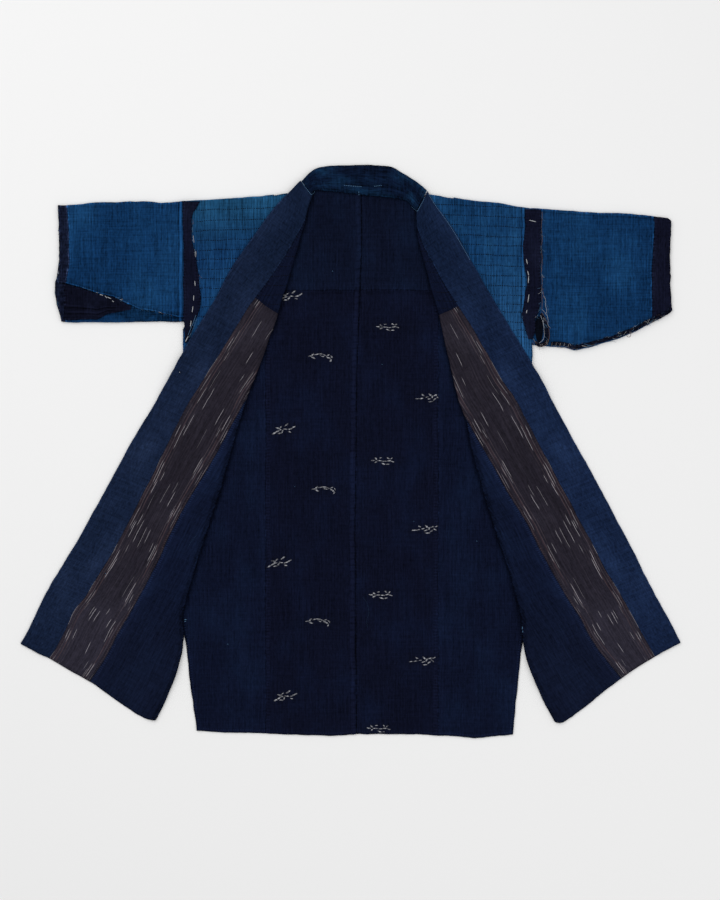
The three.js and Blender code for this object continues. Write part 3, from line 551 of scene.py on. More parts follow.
def tone(name):
    look = tones[name]

    def draw(colour, across, along, low, high, top, bottom):
        value = {"along": along, "top": top, "bottom": bottom}[look["side"]]
        start, end = look["reach"]
        return blendColour(ramp(value, start * mm, end * mm, *look["fill"]), colour, look["colour"])
    return draw


# Painted shade: the open underarm in the loop, painted near black where its inside lies in shadow
underarm = {
    "x": 324.5, "y": 210.0, "wide": 7.5, "tall": 24.0, "fill": 0.96, "colour": (0.0018, 0.0018, 0.0030),
}


def underarmShadow(colour, across, along, *sides):
    farX = abs((across - underarm["x"] * mm) / (underarm["wide"] * mm))
    farY = abs((along - underarm["y"] * mm) / (underarm["tall"] * mm))
    inside = ramp(farX * farX + farY * farY, 0.75, 1.1, underarm["fill"], 0.0)
    return blendColour(inside, colour, underarm["colour"])


print("materials")
shoulderLook = {
    "base": (0.0052, 0.032, 0.102), "pale": (0.0098, 0.056, 0.152), "streak": 1.35, "slub": 0.7, "weft": 0.4,
    "rib": 0.3, "ribPitch": 2.7, "cloud": 0.55, "cloudSize": 12.0, "pucker": 0.12, "seam": 0.3}
sleeveLook = {
    "base": (0.0042, 0.0290, 0.092), "pale": (0.0068, 0.0425, 0.120), "streak": 1.1, "slub": 0.85,
    "weft": 0.75, "rib": 0.12, "cloud": 0.5, "cloudSize": 9.0, "pucker": 0.12, "seam": 0.4, "edgeWear": 0.7}
yokeLook = {
    "base": (0.0037, 0.0060, 0.0182), "pale": (0.0039, 0.0078, 0.0235), "cloud": 0.30, "pucker": 0.05,
    "foldShade": 0.4, "seam": 0.35}
centreLook = {
    "base": (0.0038, 0.0052, 0.0162), "pale": (0.0040, 0.0066, 0.0215), "cloud": 0.25, "seam": 0.22,
    "pucker": 0.08, "foldShade": 0.4}
sideLook = {
    "base": (0.0040, 0.0064, 0.0205), "pale": (0.0044, 0.0084, 0.0260), "cloud": 0.3, "seam": 0.2,
    "foldShade": 0.45, "pucker": 0.08}
collarLook = {
    "streak": 0.4, "slub": 0.9, "weft": 0.6, "cloud": 0.6, "cloudSize": 11.0, "pucker": 0.12, "fleck": 0.12,
    "seam": 0.2, "lines": ((1, 9, 2.2, 0.2), (0, 2, 3, 0.15), (1, 0.9, 2.2, 0.5))}
yokeTicks = (3, 6, 14, 6.2, 0.4, 0.22)
hemTicks = (3, 4.5, 3, 4.2, 0.4, 0.8)
cloths = {
    "shoulderLeft": makeCloth("shoulder_indigo_left", {
        **shoulderLook, "lines": ((2, 1, 4, 0.3),)}, tone("shoulder")),
    "shoulderRight": makeCloth("shoulder_indigo_right", {
        **shoulderLook, "base": (0.0060, 0.038, 0.112), "pale": (0.0115, 0.062, 0.158),
        # the pale line 15.2 mm in from the armhole is a painted highlight on the roll of its seam, the dark
        # one at 18.4 mm a painted shadow beside it
        "lines": ((2, 1, 4, 0.3), (0, 15.2, 3.0, 0.8), (0, 18.4, 3.0, -0.45))}, tone("foot")),
    "sleeveLeft": makeCloth("sleeve_indigo_left", {
        **sleeveLook, "lines": (
            # the pale line 15.6 mm from the armhole is a painted highlight on the roll of its seam, the dark
            # line at 19.6 mm a painted shadow beside it, and the wide dark line by the bottom painted shade
            # on the flap under the slanting edge
            (2, 0.8, 2.4, 0.5), (3, 1.2, 3.0, 0.9), (0, 1.5, 3, 0.35), (1, 15.6, 4.4, 1.1),
            (1, 19.6, 3.0, -0.45), (3, -14, 50, -0.6))}),
    "sleeveRight": makeCloth("sleeve_indigo_right", {
        **sleeveLook, "lines": ((2, 5.2, 2.2, -0.45), (2, 0.8, 2.4, 0.5), (1, 1.5, 3, 0.4))}, underarmShadow),
    "frontInner": makeCloth("front_inner_cotton", {
        "base": (0.0046, 0.0080, 0.0250), "pale": (0.0053, 0.0106, 0.0320), "pucker": 0.10, "seam": 0.3,
        # the dark line by the fold is painted shade along the fold's roll
        "streak": 0.8, "weft": 0.35, "lines": ((1, 9, 22, 0.2), (0, 3, 12, -0.35)),
        "ticks": ((1, 3, 8, 3.6, 0.45, 0.9), hemTicks)}, tone("hem")),
    # On the back, the dark lines at the seams and just below the yoke seam are painted shade, and the light
    # lines some 5 mm in from a seam painted highlights on its pressed ridge
    "yokeRight": makeCloth("yoke_indigo_right", {
        **yokeLook, "lines": ((0, 0.3, 3, -0.4),), "ticks": (yokeTicks,)}),
    "yokeLeft": makeCloth("yoke_indigo_left", {
        **yokeLook, "lines": ((1, 5.5, 9, 0.40), (1, 0.3, 3, -0.5)),
        "ticks": (yokeTicks, (1, 5.5, 9, 15.5, 0.25, -0.35))}),
    "centreLeft": makeCloth("centre_cotton_left", {
        **centreLook, "lines": ((1, 6, 9, 0.55), (1, 0.3, 3.2, -0.45), (2, 4, 9, -0.25)),
        "ticks": ((1, 6, 11, 11.0, 0.3, -0.35), (0, 4.5, 9, 5.5, 0.5, 0.35), hemTicks)},
        sprigPattern("left")),
    "centreRight": makeCloth("centre_cotton_right", {
        **centreLook, "lines": ((0, 0.3, 2.6, -0.35), (2, 4, 9, -0.25)),
        "ticks": ((1, 4.5, 9, 5.5, 0.5, 0.35), hemTicks)}, sprigPattern("right")),
    "sideLeft": makeCloth("side_indigo_left", {
        **sideLook, "lines": ((1, 5, 10, 0.12),),
        "ticks": ((0, 4.5, 3, 4.2, 0.4, 1.0), (3, 4.5, 3, 4.2, 0.4, 1.0))}),
    "sideRight": makeCloth("side_indigo_right", {
        **sideLook, "lines": ((0, 5, 10, 0.12),),
        "ticks": ((1, 4.5, 3, 4.2, 0.4, 1.0), (3, 4.5, 3, 4.2, 0.4, 1.0))}),
    "stripTop": makeCloth("strip_top_cotton", {
        "base": (0.0038, 0.0060, 0.0195), "pale": (0.0042, 0.0082, 0.0255), "seam": 0.3}),
    "brown": makeCloth("brown_dash_cotton", {
        "base": (0.0170, 0.0148, 0.0225), "pale": (0.0225, 0.0200, 0.0295), "streak": 0.9, "slub": 0.6,
        "weft": 0.2, "cloud": 0.22, "pucker": 0.08, "seam": 0.12,
        "ticks": ((0, 2.5, 6, 3.6, 0.5, -0.35),)}, dashPattern),
    "collarLeft": makeCloth("collar_cotton_left", {
        **collarLook, "base": (0.0078, 0.0152, 0.0410), "pale": (0.0122, 0.0222, 0.0560)}, tone("collar")),
    "collarRight": makeCloth("collar_cotton_right", {
        **collarLook, "base": (0.0078, 0.0168, 0.0500), "pale": (0.0116, 0.0250, 0.0700)}, tone("collar")),
    "collarNeck": makeCloth("neck_collar_cotton", {
        "base": (0.0030, 0.0078, 0.0250), "pale": (0.0050, 0.0235, 0.0600), "cloud": 0.8, "cloudSize": 26.0,
        "pucker": 0.2, "slub": 1.2, "weft": 1.1,
        "lines": ((0, 12, 2.4, 0.45), (0, 15.5, 4, -0.3), (0, 3, 10, -0.3))}),
    "band": makeCloth("band_cotton", {
        "base": (0.0046, 0.0056, 0.0165), "pale": (0.0066, 0.0085, 0.0225), "pucker": 0.3, "edgeWear": 0.6}),
    "cuffLeft": makeCloth("cuff_cotton_left", {
        "base": (0.0056, 0.0080, 0.0215), "pale": (0.0115, 0.0190, 0.0450), "slub": 1.7, "weft": 1.0,
        "edgeWear": 0.8, "lines": ((1, 1.0, 2.6, 1.2),)}),
    "cuffRight": makeCloth("cuff_cotton_right", {
        "base": (0.0052, 0.0062, 0.0175), "pale": (0.0070, 0.0088, 0.0230), "slub": 0.9, "edgeWear": 0.6}),
    "patch": makeCloth("patch_cotton", {
        "base": (0.0036, 0.0044, 0.0122), "pale": (0.0056, 0.0074, 0.0195), "cloud": 0.5, "slub": 0.9,
        # its dark and light lines are painted shade and highlights of its two pleats
        "edgeWear": 0.6, "lines": ((0, 9, 3, -0.5), (0, 12, 3, 0.5), (0, 18, 3, -0.5), (0, 21, 3, 0.45))}),
    "raw": makeCloth("raw_edge_cotton", {
        "base": (0.0032, 0.0038, 0.0100), "pale": (0.0060, 0.0080, 0.0170), "edgeWear": 0.9, "streak": 1.1}),
}


def newObject(name, data):
    thing = bpy.data.objects.new(name, data)
    bpy.context.scene.collection.objects.link(thing)
    return thing


def finishMesh(shape, name, materials=()):
    mesh = bpy.data.meshes.new(name)
    shape.to_mesh(mesh)
    shape.free()
    for material in materials:
        mesh.materials.append(material)
    return newObject(name, mesh)


# Wall thicknesses, and what is welded or dropped where a grid closes on itself. collar is the whole
# flattened tube of a collar, and skin the thin shell round it.
shellWall = {"cloth": 1.4, "collar": 3.1, "skin": 0.2, "thin": 1.1, "weld": 0.02, "sliver": 0.01}
# Distances that stand for no fold near, and for an edge that lies hidden
farFromFolds = (99, 0)
hiddenGap = 50


def clothShell(name, rows, columnsAt, place, wall, materials, marksAt):
    grid = bmesh.new()
    lists = [columnsAt(row) for row in rows]
    wide, tall = len(lists[0]) - 1, len(rows) - 1
    bmesh.ops.create_grid(grid, x_segments=wide, y_segments=tall, size=1)
    uvLayers = [grid.loops.layers.uv.new(key) for key in ("cloth", "edge", "ends", "fold")]
    marks = {}
    for vert in grid.verts:
        rowCount = round((vert.co.y + 1) / 2 * tall)
        columnCount = round((vert.co.x + 1) / 2 * wide)
        row, across = rows[rowCount], lists[rowCount][columnCount]
        x, y, z = place(row, across)
        marks[vert] = (*marksAt(row, across, x, y), farFromFolds)
        vert.co = toFrame(x, y, z)
    for face in grid.faces:
        face.smooth = True
        for loop in face.loops:
            for layer, mark in zip(uvLayers, marks[loop.vert]):
                loop[layer].uv = (mark[0] * mm, mark[1] * mm)
    bmesh.ops.remove_doubles(grid, verts=grid.verts, dist=shellWall["weld"] * mm)
    bmesh.ops.dissolve_degenerate(grid, dist=shellWall["sliver"] * mm, edges=grid.edges)
    highest = max(grid.faces, key=lambda face: face.calc_center_median().z)
    grid.normal_update()
    if highest.normal.z < 0:
        bmesh.ops.reverse_faces(grid, faces=grid.faces)
    piece = finishMesh(grid, name, materials)
    solid = piece.modifiers.new("thickness", "SOLIDIFY")
    solid.thickness = shellWall[wall] * mm
    solid.offset = 0
    solid.use_even_offset = True
    solid.material_offset = len(materials) - 1
    return piece


def settle(piece, name):
    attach(piece, "root")
    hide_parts(name)


# The fronts: roundings of the hem corners, and the length of the last stretch between sections
corner = {"fold": 5.0, "free": 3.0, "lastRow": 98.0}
# How far the hem of each front sags or rises, over its width from the fold
leftHem = table(
    "reach rise", (0, 0), (0.075, -5.3), (0.135, -6.2), (0.195, -4.6), (0.256, -3), (0.316, -1.2),
    (0.376, 0.8), (0.436, 2.0), (0.5, 2.6), (0.6, 2.4), (0.7, 2.8), (0.8, 3.6), (0.87, 1.8), (1, 0.8))
rightHem = table(
    "reach rise", (0, 0), (0.03, -5.4), (0.07, -8.6), (0.14, -9.4), (0.2, -7.3), (0.26, -4.6),
    (0.33, -1.0), (0.4, 1.6), (0.46, 3.5), (0.6, 6.4), (0.73, 8.4), (0.86, 6.8), (0.93, 5), (1, 3.5))


# Above sideTop the back's side edge counts as going straight up. The form of the shoulder fades out
# over its sections, the hem's waves over theirs, and the sleeve's roll is reached from below.
frontMap = {"sideTop": 200, "shoulderRows": 5, "hemRows": 1.2, "ridgeFrom": 235, "ridgeTo": 262}


def makeFrontMap(side, sections, shoulder, edge, hem, bow):
    def support(x, y):
        outside = side * (x - lookup(edge, "y", "x", min(y, frontMap["sideTop"])))
        height = layers["top"] - layers["cloth"] / 2
        return height * (1 - smooth(layers["sinkStart"], layers["sinkEnd"], outside))

    def foldAt(row):
        bowed = bow * math.sin(math.pi * clamp(row - lastSection + 1, 0, 1))
        return section(sections, "foldX", row) - side * bowed

    def onTop(row, out):
        tilt = math.radians(section(sections, "tilt", row))
        reach = out / section(sections, "outer", row)
        bowed = lookup(hem, "reach", "rise", reach)
        bowed *= smooth(lastSection - frontMap["hemRows"], lastSection, row)
        x = foldAt(row) + side * out * math.cos(tilt)
        return x, section(sections, "foldY", row) + out * math.sin(tilt) + bowed

    def below(row, out):
        fade = 1 - smooth(0, frontMap["shoulderRows"], row)
        x = foldAt(row) + side * out
        return x, section(sections, "foldY", row) + lookup(shoulder, "out", "rise", out) * fade

    def rounded(row, out):
        outer = section(sections, "outer", row)
        cut = 0.0
        for far, reach in ((max(out, 0), corner["fold"]), (outer - out, corner["free"])):
            if 0 <= far < reach:
                cut = max(cut, reach - math.sqrt(reach * reach - (reach - far) ** 2))
        return lastSection - 1 + (row - lastSection + 1) * (1 - cut / corner["lastRow"])

    def place(row, out, wall=layers["cloth"]):
        if row > lastSection - 1:
            row = rounded(row, out)
        over, count, far = max(0, -row), max(0, row), abs(out)
        x, y = onTop(count, far) if out >= 0 else below(count, far)
        foldX, foldY = section(sections, "foldX", count), section(sections, "foldY", count)
        base = support(foldX, foldY)
        rest = base + wall / 2
        under = max(layers["low"], base + layers["cloth"] / 2 - layers["step"])
        radius = (rest + layers["foldLift"] - under) / 2
        if far < radius:
            rise = math.sqrt(max(0, radius * radius - (radius - far) ** 2))
            return x, y, under + radius + math.copysign(rise, out)
        if out > 0:
            proud = layers["foldLift"] * (1 - smooth(layers["foldFlat"], layers["foldFade"], far))
            return x, y, support(x, y) + wall / 2 + proud
        ridge = sleeveRidge[side]
        reached = smooth(frontMap["ridgeFrom"], frontMap["ridgeTo"], y)
        under += ridge["rise"] * (1 - smooth(0, ridge["half"], abs(x - ridge["x"]))) * reached
        turn = min(over / layers["edgeRadius"], math.pi)
        flat = max(0, over - math.pi * layers["edgeRadius"])
        if over > 0:
            y += layers["edgeRadius"] * math.sin(turn) - flat
        return x, y, under - layers["edgeRadius"] * (1 - math.cos(turn))

    return place, onTop


# Columns across a front: closer together round the fold and beside the edge of what lies below it
foldColumns = [-2.3, -1.75, -1.15, -0.6, -0.3, -0.08, 0, 0.08, 0.3, 0.6, 1.15, 1.75, 2.3]
edgeColumns = {"share": 0.13, "count": 14}


def foldedColumns(low, high, under, over):
    start, end = min(low, foldColumns[0]), max(high, foldColumns[-1])
    fine = evenly(start, mix(start, foldColumns[0], edgeColumns["share"]), edgeColumns["count"])
    first = fine[:-1] + evenly(fine[-1], foldColumns[0], under)[:-1]
    last = evenly(foldColumns[-1], end, over)[1:]
    return [clamp(out, low, high) for out in first + foldColumns + last]


def rowsBetween(low, high, step):
    return evenly(low, high, max(2, round((high - low) / step)))


def lengthAlong(sections):
    lengths = [0.0]
    for first, second in zip(sections, sections[1:]):
        step = math.hypot(second["foldX"] - first["foldX"], second["foldY"] - first["foldY"])
        lengths.append(lengths[-1] + step)

    def fromHem(row):
        at = min(int(row), lastSection - 1)
        return lengths[-1] - mix(lengths[at], lengths[at + 1], clamp(row, 0, lastSection) - at)
    return fromHem


# The soft roll of each armhole seam, outside the band: its middle, half width and rise
sleeveRidge = {-1: {"x": -291.5, "half": 5.2, "rise": 1.7}, 1: {"x": 297.2, "half": 4.6, "rise": 1.7}}
frontSettings = {
    "left": {
        "side": -1, "sections": leftFront, "shoulder": leftShoulder, "edge": leftSide, "hem": leftHem,
        "bow": 2.8, "brownFrom": 4.42, "frontArea": 0.107,
    },
    "right": {
        "side": 1, "sections": rightFront, "shoulder": rightShoulder, "edge": rightSide, "hem": rightHem,
        "bow": 0.5, "brownFrom": 4.0, "frontArea": 0.112,
    },
}
# Steps between rows, as shares of a section, and the run of the brown cloth's pattern across a strip
frontRows = {"coarse": 0.14, "fine": 0.12, "brownWide": 77}


def makeFrontPieces(name):
    setting = frontSettings[name]
    sections, side, edge = setting["sections"], setting["side"], setting["edge"]
    place, onTop = makeFrontMap(side, sections, setting["shoulder"], edge, setting["hem"], setting["bow"])
    length = lengthAlong(sections)
    shoulderCloth = cloths["shoulder" + name.title()]
    strip = lambda row: section(sections, "strip", max(row, 0))
    seam = lambda row: section(sections, "seam", max(row, 0))
    outer = lambda row: section(sections, "outer", max(row, 0))

    def sideReach(row):
        foldX, foldY = section(sections, "foldX", max(row, 0)), section(sections, "foldY", max(row, 0))
        return max(layers["hemTurn"], side * (lookup(edge, "y", "x", foldY) - foldX))

    def marks(low, high, hidden, even=None):
        def at(row, out, x, y):
            run = length(max(row, 0))
            spot = (out - strip(row), run) if out >= 0 else (x, y)
            if even:
                spot = ((out - low(row)) * even / (high(row) - low(row)), run)
            gaps = [abs(out - low(row)), abs(high(row) - out)]
            if out > 0 and hidden[0] is None and hidden[1]:
                gaps[0] = out
            if out < -2:
                gaps = [gap if line is None else hiddenGap for gap, line in zip(gaps, hidden)]
            return spot, gaps, (length(0) - run + 2, run)
        return at

    turn = evenly(-(math.pi * layers["edgeRadius"] + layers["hemTurn"]), 0, 8)[:-1]
    down = rowsBetween(0, lastSection, frontRows["coarse"])
    front = clothShell(
        "front_" + name, turn + down,
        lambda row: foldedColumns(-sideReach(row), strip(row), 26, 20),
        place, "cloth", [cloths["frontInner"], shoulderCloth],
        marks(lambda row: -sideReach(row), strip, (None, "strip")))
    settle(front, "front_" + name)
    top = clothShell(
        "strip_top_" + name, rowsBetween(0.0, setting["brownFrom"], frontRows["fine"]),
        lambda row: foldedColumns(strip(row), seam(row), 10, 6),
        place, "cloth", [cloths["stripTop"], shoulderCloth],
        marks(strip, seam, ("strip", "seam")))
    settle(top, "strip_top_" + name)
    brown = clothShell(
        "front_strip_" + name, rowsBetween(setting["brownFrom"], lastSection, frontRows["coarse"]),
        lambda row: foldedColumns(strip(row), seam(row), 6, 14),
        place, "cloth", [cloths["brown"]] * 2,
        marks(strip, seam, (None, None), frontRows["brownWide"]))
    settle(brown, "front_strip_" + name)
    makeCollar(name, place, seam, outer, length)
    return onTop


# A collar length is a flattened tube: out on top, round its fold, and back below
foldShares = [0.46, 0.475, 0.488, 0.495, 0.5, 0.505, 0.512, 0.525, 0.54]
tubeEnds = {"edge": 0.06, "thinnest": 0.12}  # the share of its width that rounds off, and the least height


def tubeShares(count):
    return evenly(0, 0.44, count) + foldShares + evenly(0.56, 1, count)


def tubeProfile(share):
    across = 1 - abs(1 - 2 * share)
    near = 1 - across
    swell = math.sqrt(max(0, 1 - (1 - clamp(near / tubeEnds["edge"], 0, 1)) ** 2))
    side = 1 if share <= 0.5 else -1
    return across, side * swell * shellWall["collar"] / 2


def endSwell(row, last, inset, reach):
    return math.sqrt(clamp(min(row + inset, last + inset - row) / reach, tubeEnds["thinnest"], 1))


def tubeMarks(share, wide):
    across = tubeProfile(share)[0]
    return across * wide, (1 - across) * wide


# A collar length thins and sinks to the strip where the two are sewn together
collarSeam = {"reach": 0.16, "thin": 0.3, "sink": 0.5, "wide": 62}


def makeCollar(name, place, seam, outer, length):
    def at(row, share):
        across, height = tubeProfile(share)
        seamed = 1 - smooth(0, collarSeam["reach"], across)
        height *= mix(1, collarSeam["thin"], seamed)
        ends = endSwell(row, lastSection, 0.02, 0.08)
        out = seam(row) + across * (outer(row) - seam(row))
        x, y, z = place(row, out, layers["collar"])
        z -= collarSeam["sink"] * seamed
        x2, y2, z2 = place(row, out + 0.05, layers["collar"])
        lean = math.atan2(z2 - z, math.hypot(x2 - x, y2 - y))
        flat = math.hypot(x2 - x, y2 - y) or 1
        shiftOut = -math.sin(lean) * height * ends
        return (x + shiftOut * (x2 - x) / flat, y + shiftOut * (y2 - y) / flat,
                z + math.cos(lean) * height * ends)

    piece = clothShell(
        "collar_" + name, rowsBetween(0, lastSection, frontRows["fine"]), lambda row: tubeShares(16), at,
        "skin", [cloths["collar" + name.title()]],
        lambda row, share, x, y: (
            (tubeProfile(share)[0] * (outer(row) - seam(row)), length(row)),
            tubeMarks(share, collarSeam["wide"]), (length(0) - length(row) + 1, length(row) + 1)))
    settle(piece, "collar_" + name)


# The back
backSettings = {
    "cell": 6.0, "near": (0, 0.8, 1.7, 3.5, 6, 9, 13), "seamDip": 0.3, "seamReach": 1.7,
    "ridge": 0.5, "ridgeAt": 5.5, "ridgeHalf": 6.0, "hemWobble": 0.8,
}


def nearAndBetween(low, high):
    near = backSettings["near"]
    start, end = low + near[-1], high - near[-1]
    middle = evenly(start, end, max(2, round((end - start) / backSettings["cell"])))[1:-1]
    return [low + far for far in near] + middle + [high - far for far in reversed(near)]


# Distance from the nearer front's fold, for the painted shadow the folds cast on the back
def fromFolds(x, y):
    return min(x - lookup(leftFront, "foldY", "foldX", y), lookup(rightFront, "foldY", "foldX", y) - x)


def makeBackPanel(name, leftAt, rightAt, topAt, bottomAt, ridged, cloth):
    setting, margin = backSettings, backSettings["near"][-1]
    middle = (leftAt(0) + rightAt(0)) / 2
    high, low = topAt(middle), bottomAt(middle)
    rows = nearAndBetween(low, high)
    columns = nearAndBetween(leftAt(0), rightAt(0))

    def spread(value, oldLow, oldHigh, newLow, newHigh):
        if value < oldLow + margin + 0.01:
            return newLow + value - oldLow
        if value > oldHigh - margin - 0.01:
            return newHigh + value - oldHigh
        share = (value - oldLow - margin) / (oldHigh - oldLow - 2 * margin)
        return mix(newLow + margin, newHigh - margin, share)

    def distances(x, y):
        return (x - leftAt(y), rightAt(y) - x), (topAt(x) - y, y - bottomAt(x))

    def at(row, column):
        x = spread(column, leftAt(0), rightAt(0), leftAt(row), rightAt(row))
        y = spread(row, low, high, bottomAt(x), topAt(x))
        x = spread(column, leftAt(0), rightAt(0), leftAt(y), rightAt(y))
        edges, ends = distances(x, y)
        z = layers["low"] - setting["seamDip"] * (1 - smooth(0, setting["seamReach"], min(*edges, *ends)))
        for side in ridged:
            far = abs((*edges, *ends)[side] - setting["ridgeAt"])
            z += setting["ridge"] * (1 - smooth(0, setting["ridgeHalf"], far))
        return x, y, z

    piece = clothShell(name, rows, lambda row: columns, at, "cloth", [cloths[cloth]] * 2,
                       lambda row, column, x, y: ((x, y), *distances(x, y), (fromFolds(x, y), 0)))
    settle(piece, name)


def makeBack():
    fixed = lambda value: lambda place: value
    along = lambda rows, key, name: lambda place: lookup(rows, key, name, place)
    worn = lambda x: backSettings["hemWobble"] * noise.noise(Vector((x / 21, 4.2, 0)))
    hem = lambda x: lookup(hemLine, "x", "y", x) + worn(x)
    centre, seam = along(centreSeam, "y", "x"), fixed(yokeSeam)
    leftEdge, rightEdge = along(leftSide, "y", "x"), along(rightSide, "y", "x")
    leftPanel, rightPanel = fixed(panelSeams["left"]), fixed(panelSeams["right"])
    makeBackPanel("back_yoke_left", fixed(armholes["left"]), centre, along(leftYokeTop, "x", "y"), seam,
                  (1,), "yokeLeft")
    makeBackPanel("back_yoke_right", centre, fixed(armholes["right"]), along(rightYokeTop, "x", "y"), seam,
                  (), "yokeRight")
    makeBackPanel("back_centre_left", leftPanel, centre, seam, hem, (1, 0, 3), "centreLeft")
    makeBackPanel("back_centre_right", centre, rightPanel, seam, hem, (1, 3), "centreRight")
    makeBackPanel("back_side_left", leftEdge, leftPanel, seam, hem, (0, 3), "sideLeft")
    makeBackPanel("back_side_right", rightPanel, rightEdge, seam, hem, (1, 3), "sideRight")


# The neck collar: the same flattened tube on a soft roll
neckCollar = {"wide": 50, "sectionLong": 24, "rowStep": 0.14}


def makeNeckCollar():
    last = len(neckSections) - 1

    def middle(row, across):
        at = {key: section(neckSections, key, row) for key in neckSections[0]}
        roll = at["crown"] * math.sin(math.pi * clamp(across, 0, 1))
        return Vector((mix(at["inX"], at["outX"], across), mix(at["inY"], at["outY"], across),
                       mix(at["inZ"], at["outZ"], across) + roll))

    def at(row, share):
        across, height = tubeProfile(share)
        ends = endSwell(row, last, 0.01, 0.06)
        spot = middle(row, across)
        over = middle(row, across + 0.01) - middle(row, across - 0.01)
        down = middle(min(row + 0.02, last), across) - middle(max(row - 0.02, 0), across)
        normal = over.cross(down).normalized()
        if normal.z < 0:
            normal = -normal
        return tuple(spot + normal * height * ends)

    wide, long = neckCollar["wide"], neckCollar["sectionLong"]
    piece = clothShell(
        "collar_neck", rowsBetween(0, last, neckCollar["rowStep"]), lambda row: tubeShares(14), at, "skin",
        [cloths["collarNeck"]],
        lambda row, share, x, y: (
            (tubeProfile(share)[0] * wide, row * long), tubeMarks(share, wide),
            (row * long + 1, (last - row) * long + 1)))
    settle(piece, "collar_neck")


# The sleeves and cuffs: a section from edge to edge at each place out along the arm
def roundEdge(y, outward, fromTop):
    steps = []
    for turn in evenly(0, math.pi, 8):
        height = math.cos(turn) if fromTop else -math.cos(turn)
        steps.append((y - outward * layers["edgeRadius"] * (1 - math.sin(turn)),
                      layers["low"] + layers["edgeRadius"] * (1 + height)))
    return steps


def between(first, last, count):
    parts = evenly(0, 1, count)[1:-1]
    return [(mix(first[0], last[0], part), mix(first[1], last[1], part)) for part in parts]


# The slanting edge of the left sleeve rises over its flap close to the armhole, and laps it further out
leftFlap = {"stepFrom": -290, "stepTo": -304, "lapFrom": -306, "lapTo": -324, "lap": 8, "lapStart": -0.4}


def leftSleeveProfile(x):
    top, slant, bottom = (lookup(leftSleeve, "x", key, x) for key in ("top", "slant", "bottom"))
    rise = layers["step"] * smooth(leftFlap["stepFrom"], leftFlap["stepTo"], x)
    lap = mix(leftFlap["lapStart"], leftFlap["lap"], smooth(leftFlap["lapFrom"], leftFlap["lapTo"], x))
    mid, low, radius = layers["mid"], layers["low"], layers["edgeRadius"]
    free = [(slant + far, mid + rise) for far in (0, 6, 12)]
    free += [(slant + 22, mid + rise / 2), (slant + 32, mid)]
    upper = between(free[-1], (top - radius, mid), 15)
    back = between((top - radius, low), (bottom + radius, low), 24)
    flap = between((bottom + radius, mid), (slant + lap, mid), 8) + [(slant + lap, mid)]
    return free + upper + roundEdge(top, 1, True) + back + roundEdge(bottom, -1, False) + flap


def rightSleeveProfile(x):
    top, bottom = (lookup(rightSleeve, "x", key, x) for key in ("top", "bottom"))
    mid, low, radius = layers["mid"], layers["low"], layers["edgeRadius"]
    back = between((top - radius, low), (bottom + radius, low), 26)
    front = between((bottom + radius, mid), (top - radius, mid), 26)
    whole = roundEdge(top, 1, True) + back + roundEdge(bottom, -1, False) + front
    return whole + whole[:1]


# A sleeve's two layers part at a height, and the pattern of the lower one is turned over at turnY.
# The flap's wear and painted shade start in from its edge, and the search for a point on the cuff
# starts at firstY.
sleeveMap = {"parting": 2.1, "turnY": 424, "flapFrom": 3, "firstY": 300}


def makeSleevePiece(name, side, span, spread, cloth, flat):
    profile = leftSleeveProfile if side < 0 else rightSleeveProfile
    ridge = sleeveRidge[side]
    points = len(profile(side * 400))

    def at(row, column):
        y = sleeveMap["firstY"]
        for _ in range(4):  # the cuff's edge isn't straight, so the place along the arm follows y
            y, z = profile(span(row, y))[column]
        x = span(row, y)
        if z > layers["mid"] - 0.5 and side < 0:
            z += ridge["rise"] * (1 - smooth(0, ridge["half"], abs(x - ridge["x"])))
        return x, y, z

    def marks(row, column, x, y):
        ends = profile(x)
        y, z = ends[column]
        onTop = z > sleeveMap["parting"]
        high, low = max(end[0] for end in ends), min(end[0] for end in ends)
        if side < 0 and onTop:
            low = ends[0][0] + sleeveMap["flapFrom"]
        reach = flat[0] / mm
        spot = (x, y if onTop else 2 * sleeveMap["turnY"] - y)
        return spot, (row * reach, (1 - row) * reach), (high - y, y - low + 3)

    columns = list(range(points))
    piece = clothShell(name, spread, lambda row: columns, at, "cloth", [cloths[cloth]] * 2, marks)
    settle(piece, name)


def makeSleeves():
    worn = lambda key, y: (key == "free") * 1.1 * noise.noise(Vector((y / 8, 3.3, 0)))
    edgeOf = lambda rows, key: lambda y: lookup(rows, "y", key, y) + worn(key, y)
    spanOf = lambda start, end: lambda row, y: mix(start(y), end(y), row)
    armhole = lambda name: lambda y: armholes[name]
    leftSeam, leftFree = edgeOf(leftCuffEdge, "seam"), edgeOf(leftCuffEdge, "free")
    rightSeam, rightFree = edgeOf(rightCuffEdge, "seam"), edgeOf(rightCuffEdge, "free")
    towardsRidge = evenly(0, 0.87, 34) + evenly(0.87, 1, 20)[1:]  # finer at the soft roll by the armhole
    makeSleevePiece("sleeve_left", -1, spanOf(leftSeam, armhole("left")), towardsRidge, "sleeveLeft",
                    (0.21, 0.46))
    makeSleevePiece("cuff_left", -1, spanOf(leftFree, leftSeam), evenly(0, 1, 6), "cuffLeft",
                    (0.017, 0.42))
    makeSleevePiece("sleeve_right", 1, spanOf(armhole("right"), rightSeam), evenly(0, 1, 40), "sleeveRight",
                    (0.205, 0.44))
    makeSleevePiece("cuff_right", 1, spanOf(rightSeam, rightFree), evenly(0, 1, 8), "cuffRight",
                    (0.033, 0.34))


# Bands, patch, raw seam and loop: single layers on top. size is how wide a strip is taken
# to be by its edge wear and painted edge shade, and how long from one row to the next.
def makeThinPiece(name, rows, across, at, cloth, size):
    wide, tall = size
    piece = clothShell(
        name, rows, lambda row: evenly(0, 1, across), at, "thin", [cloths[cloth]] * 2,
        lambda row, share, x, y: (
            (x, y), (share * wide, (1 - share) * wide), (row * tall, (rows[-1] - row) * tall)))
    settle(piece, name)


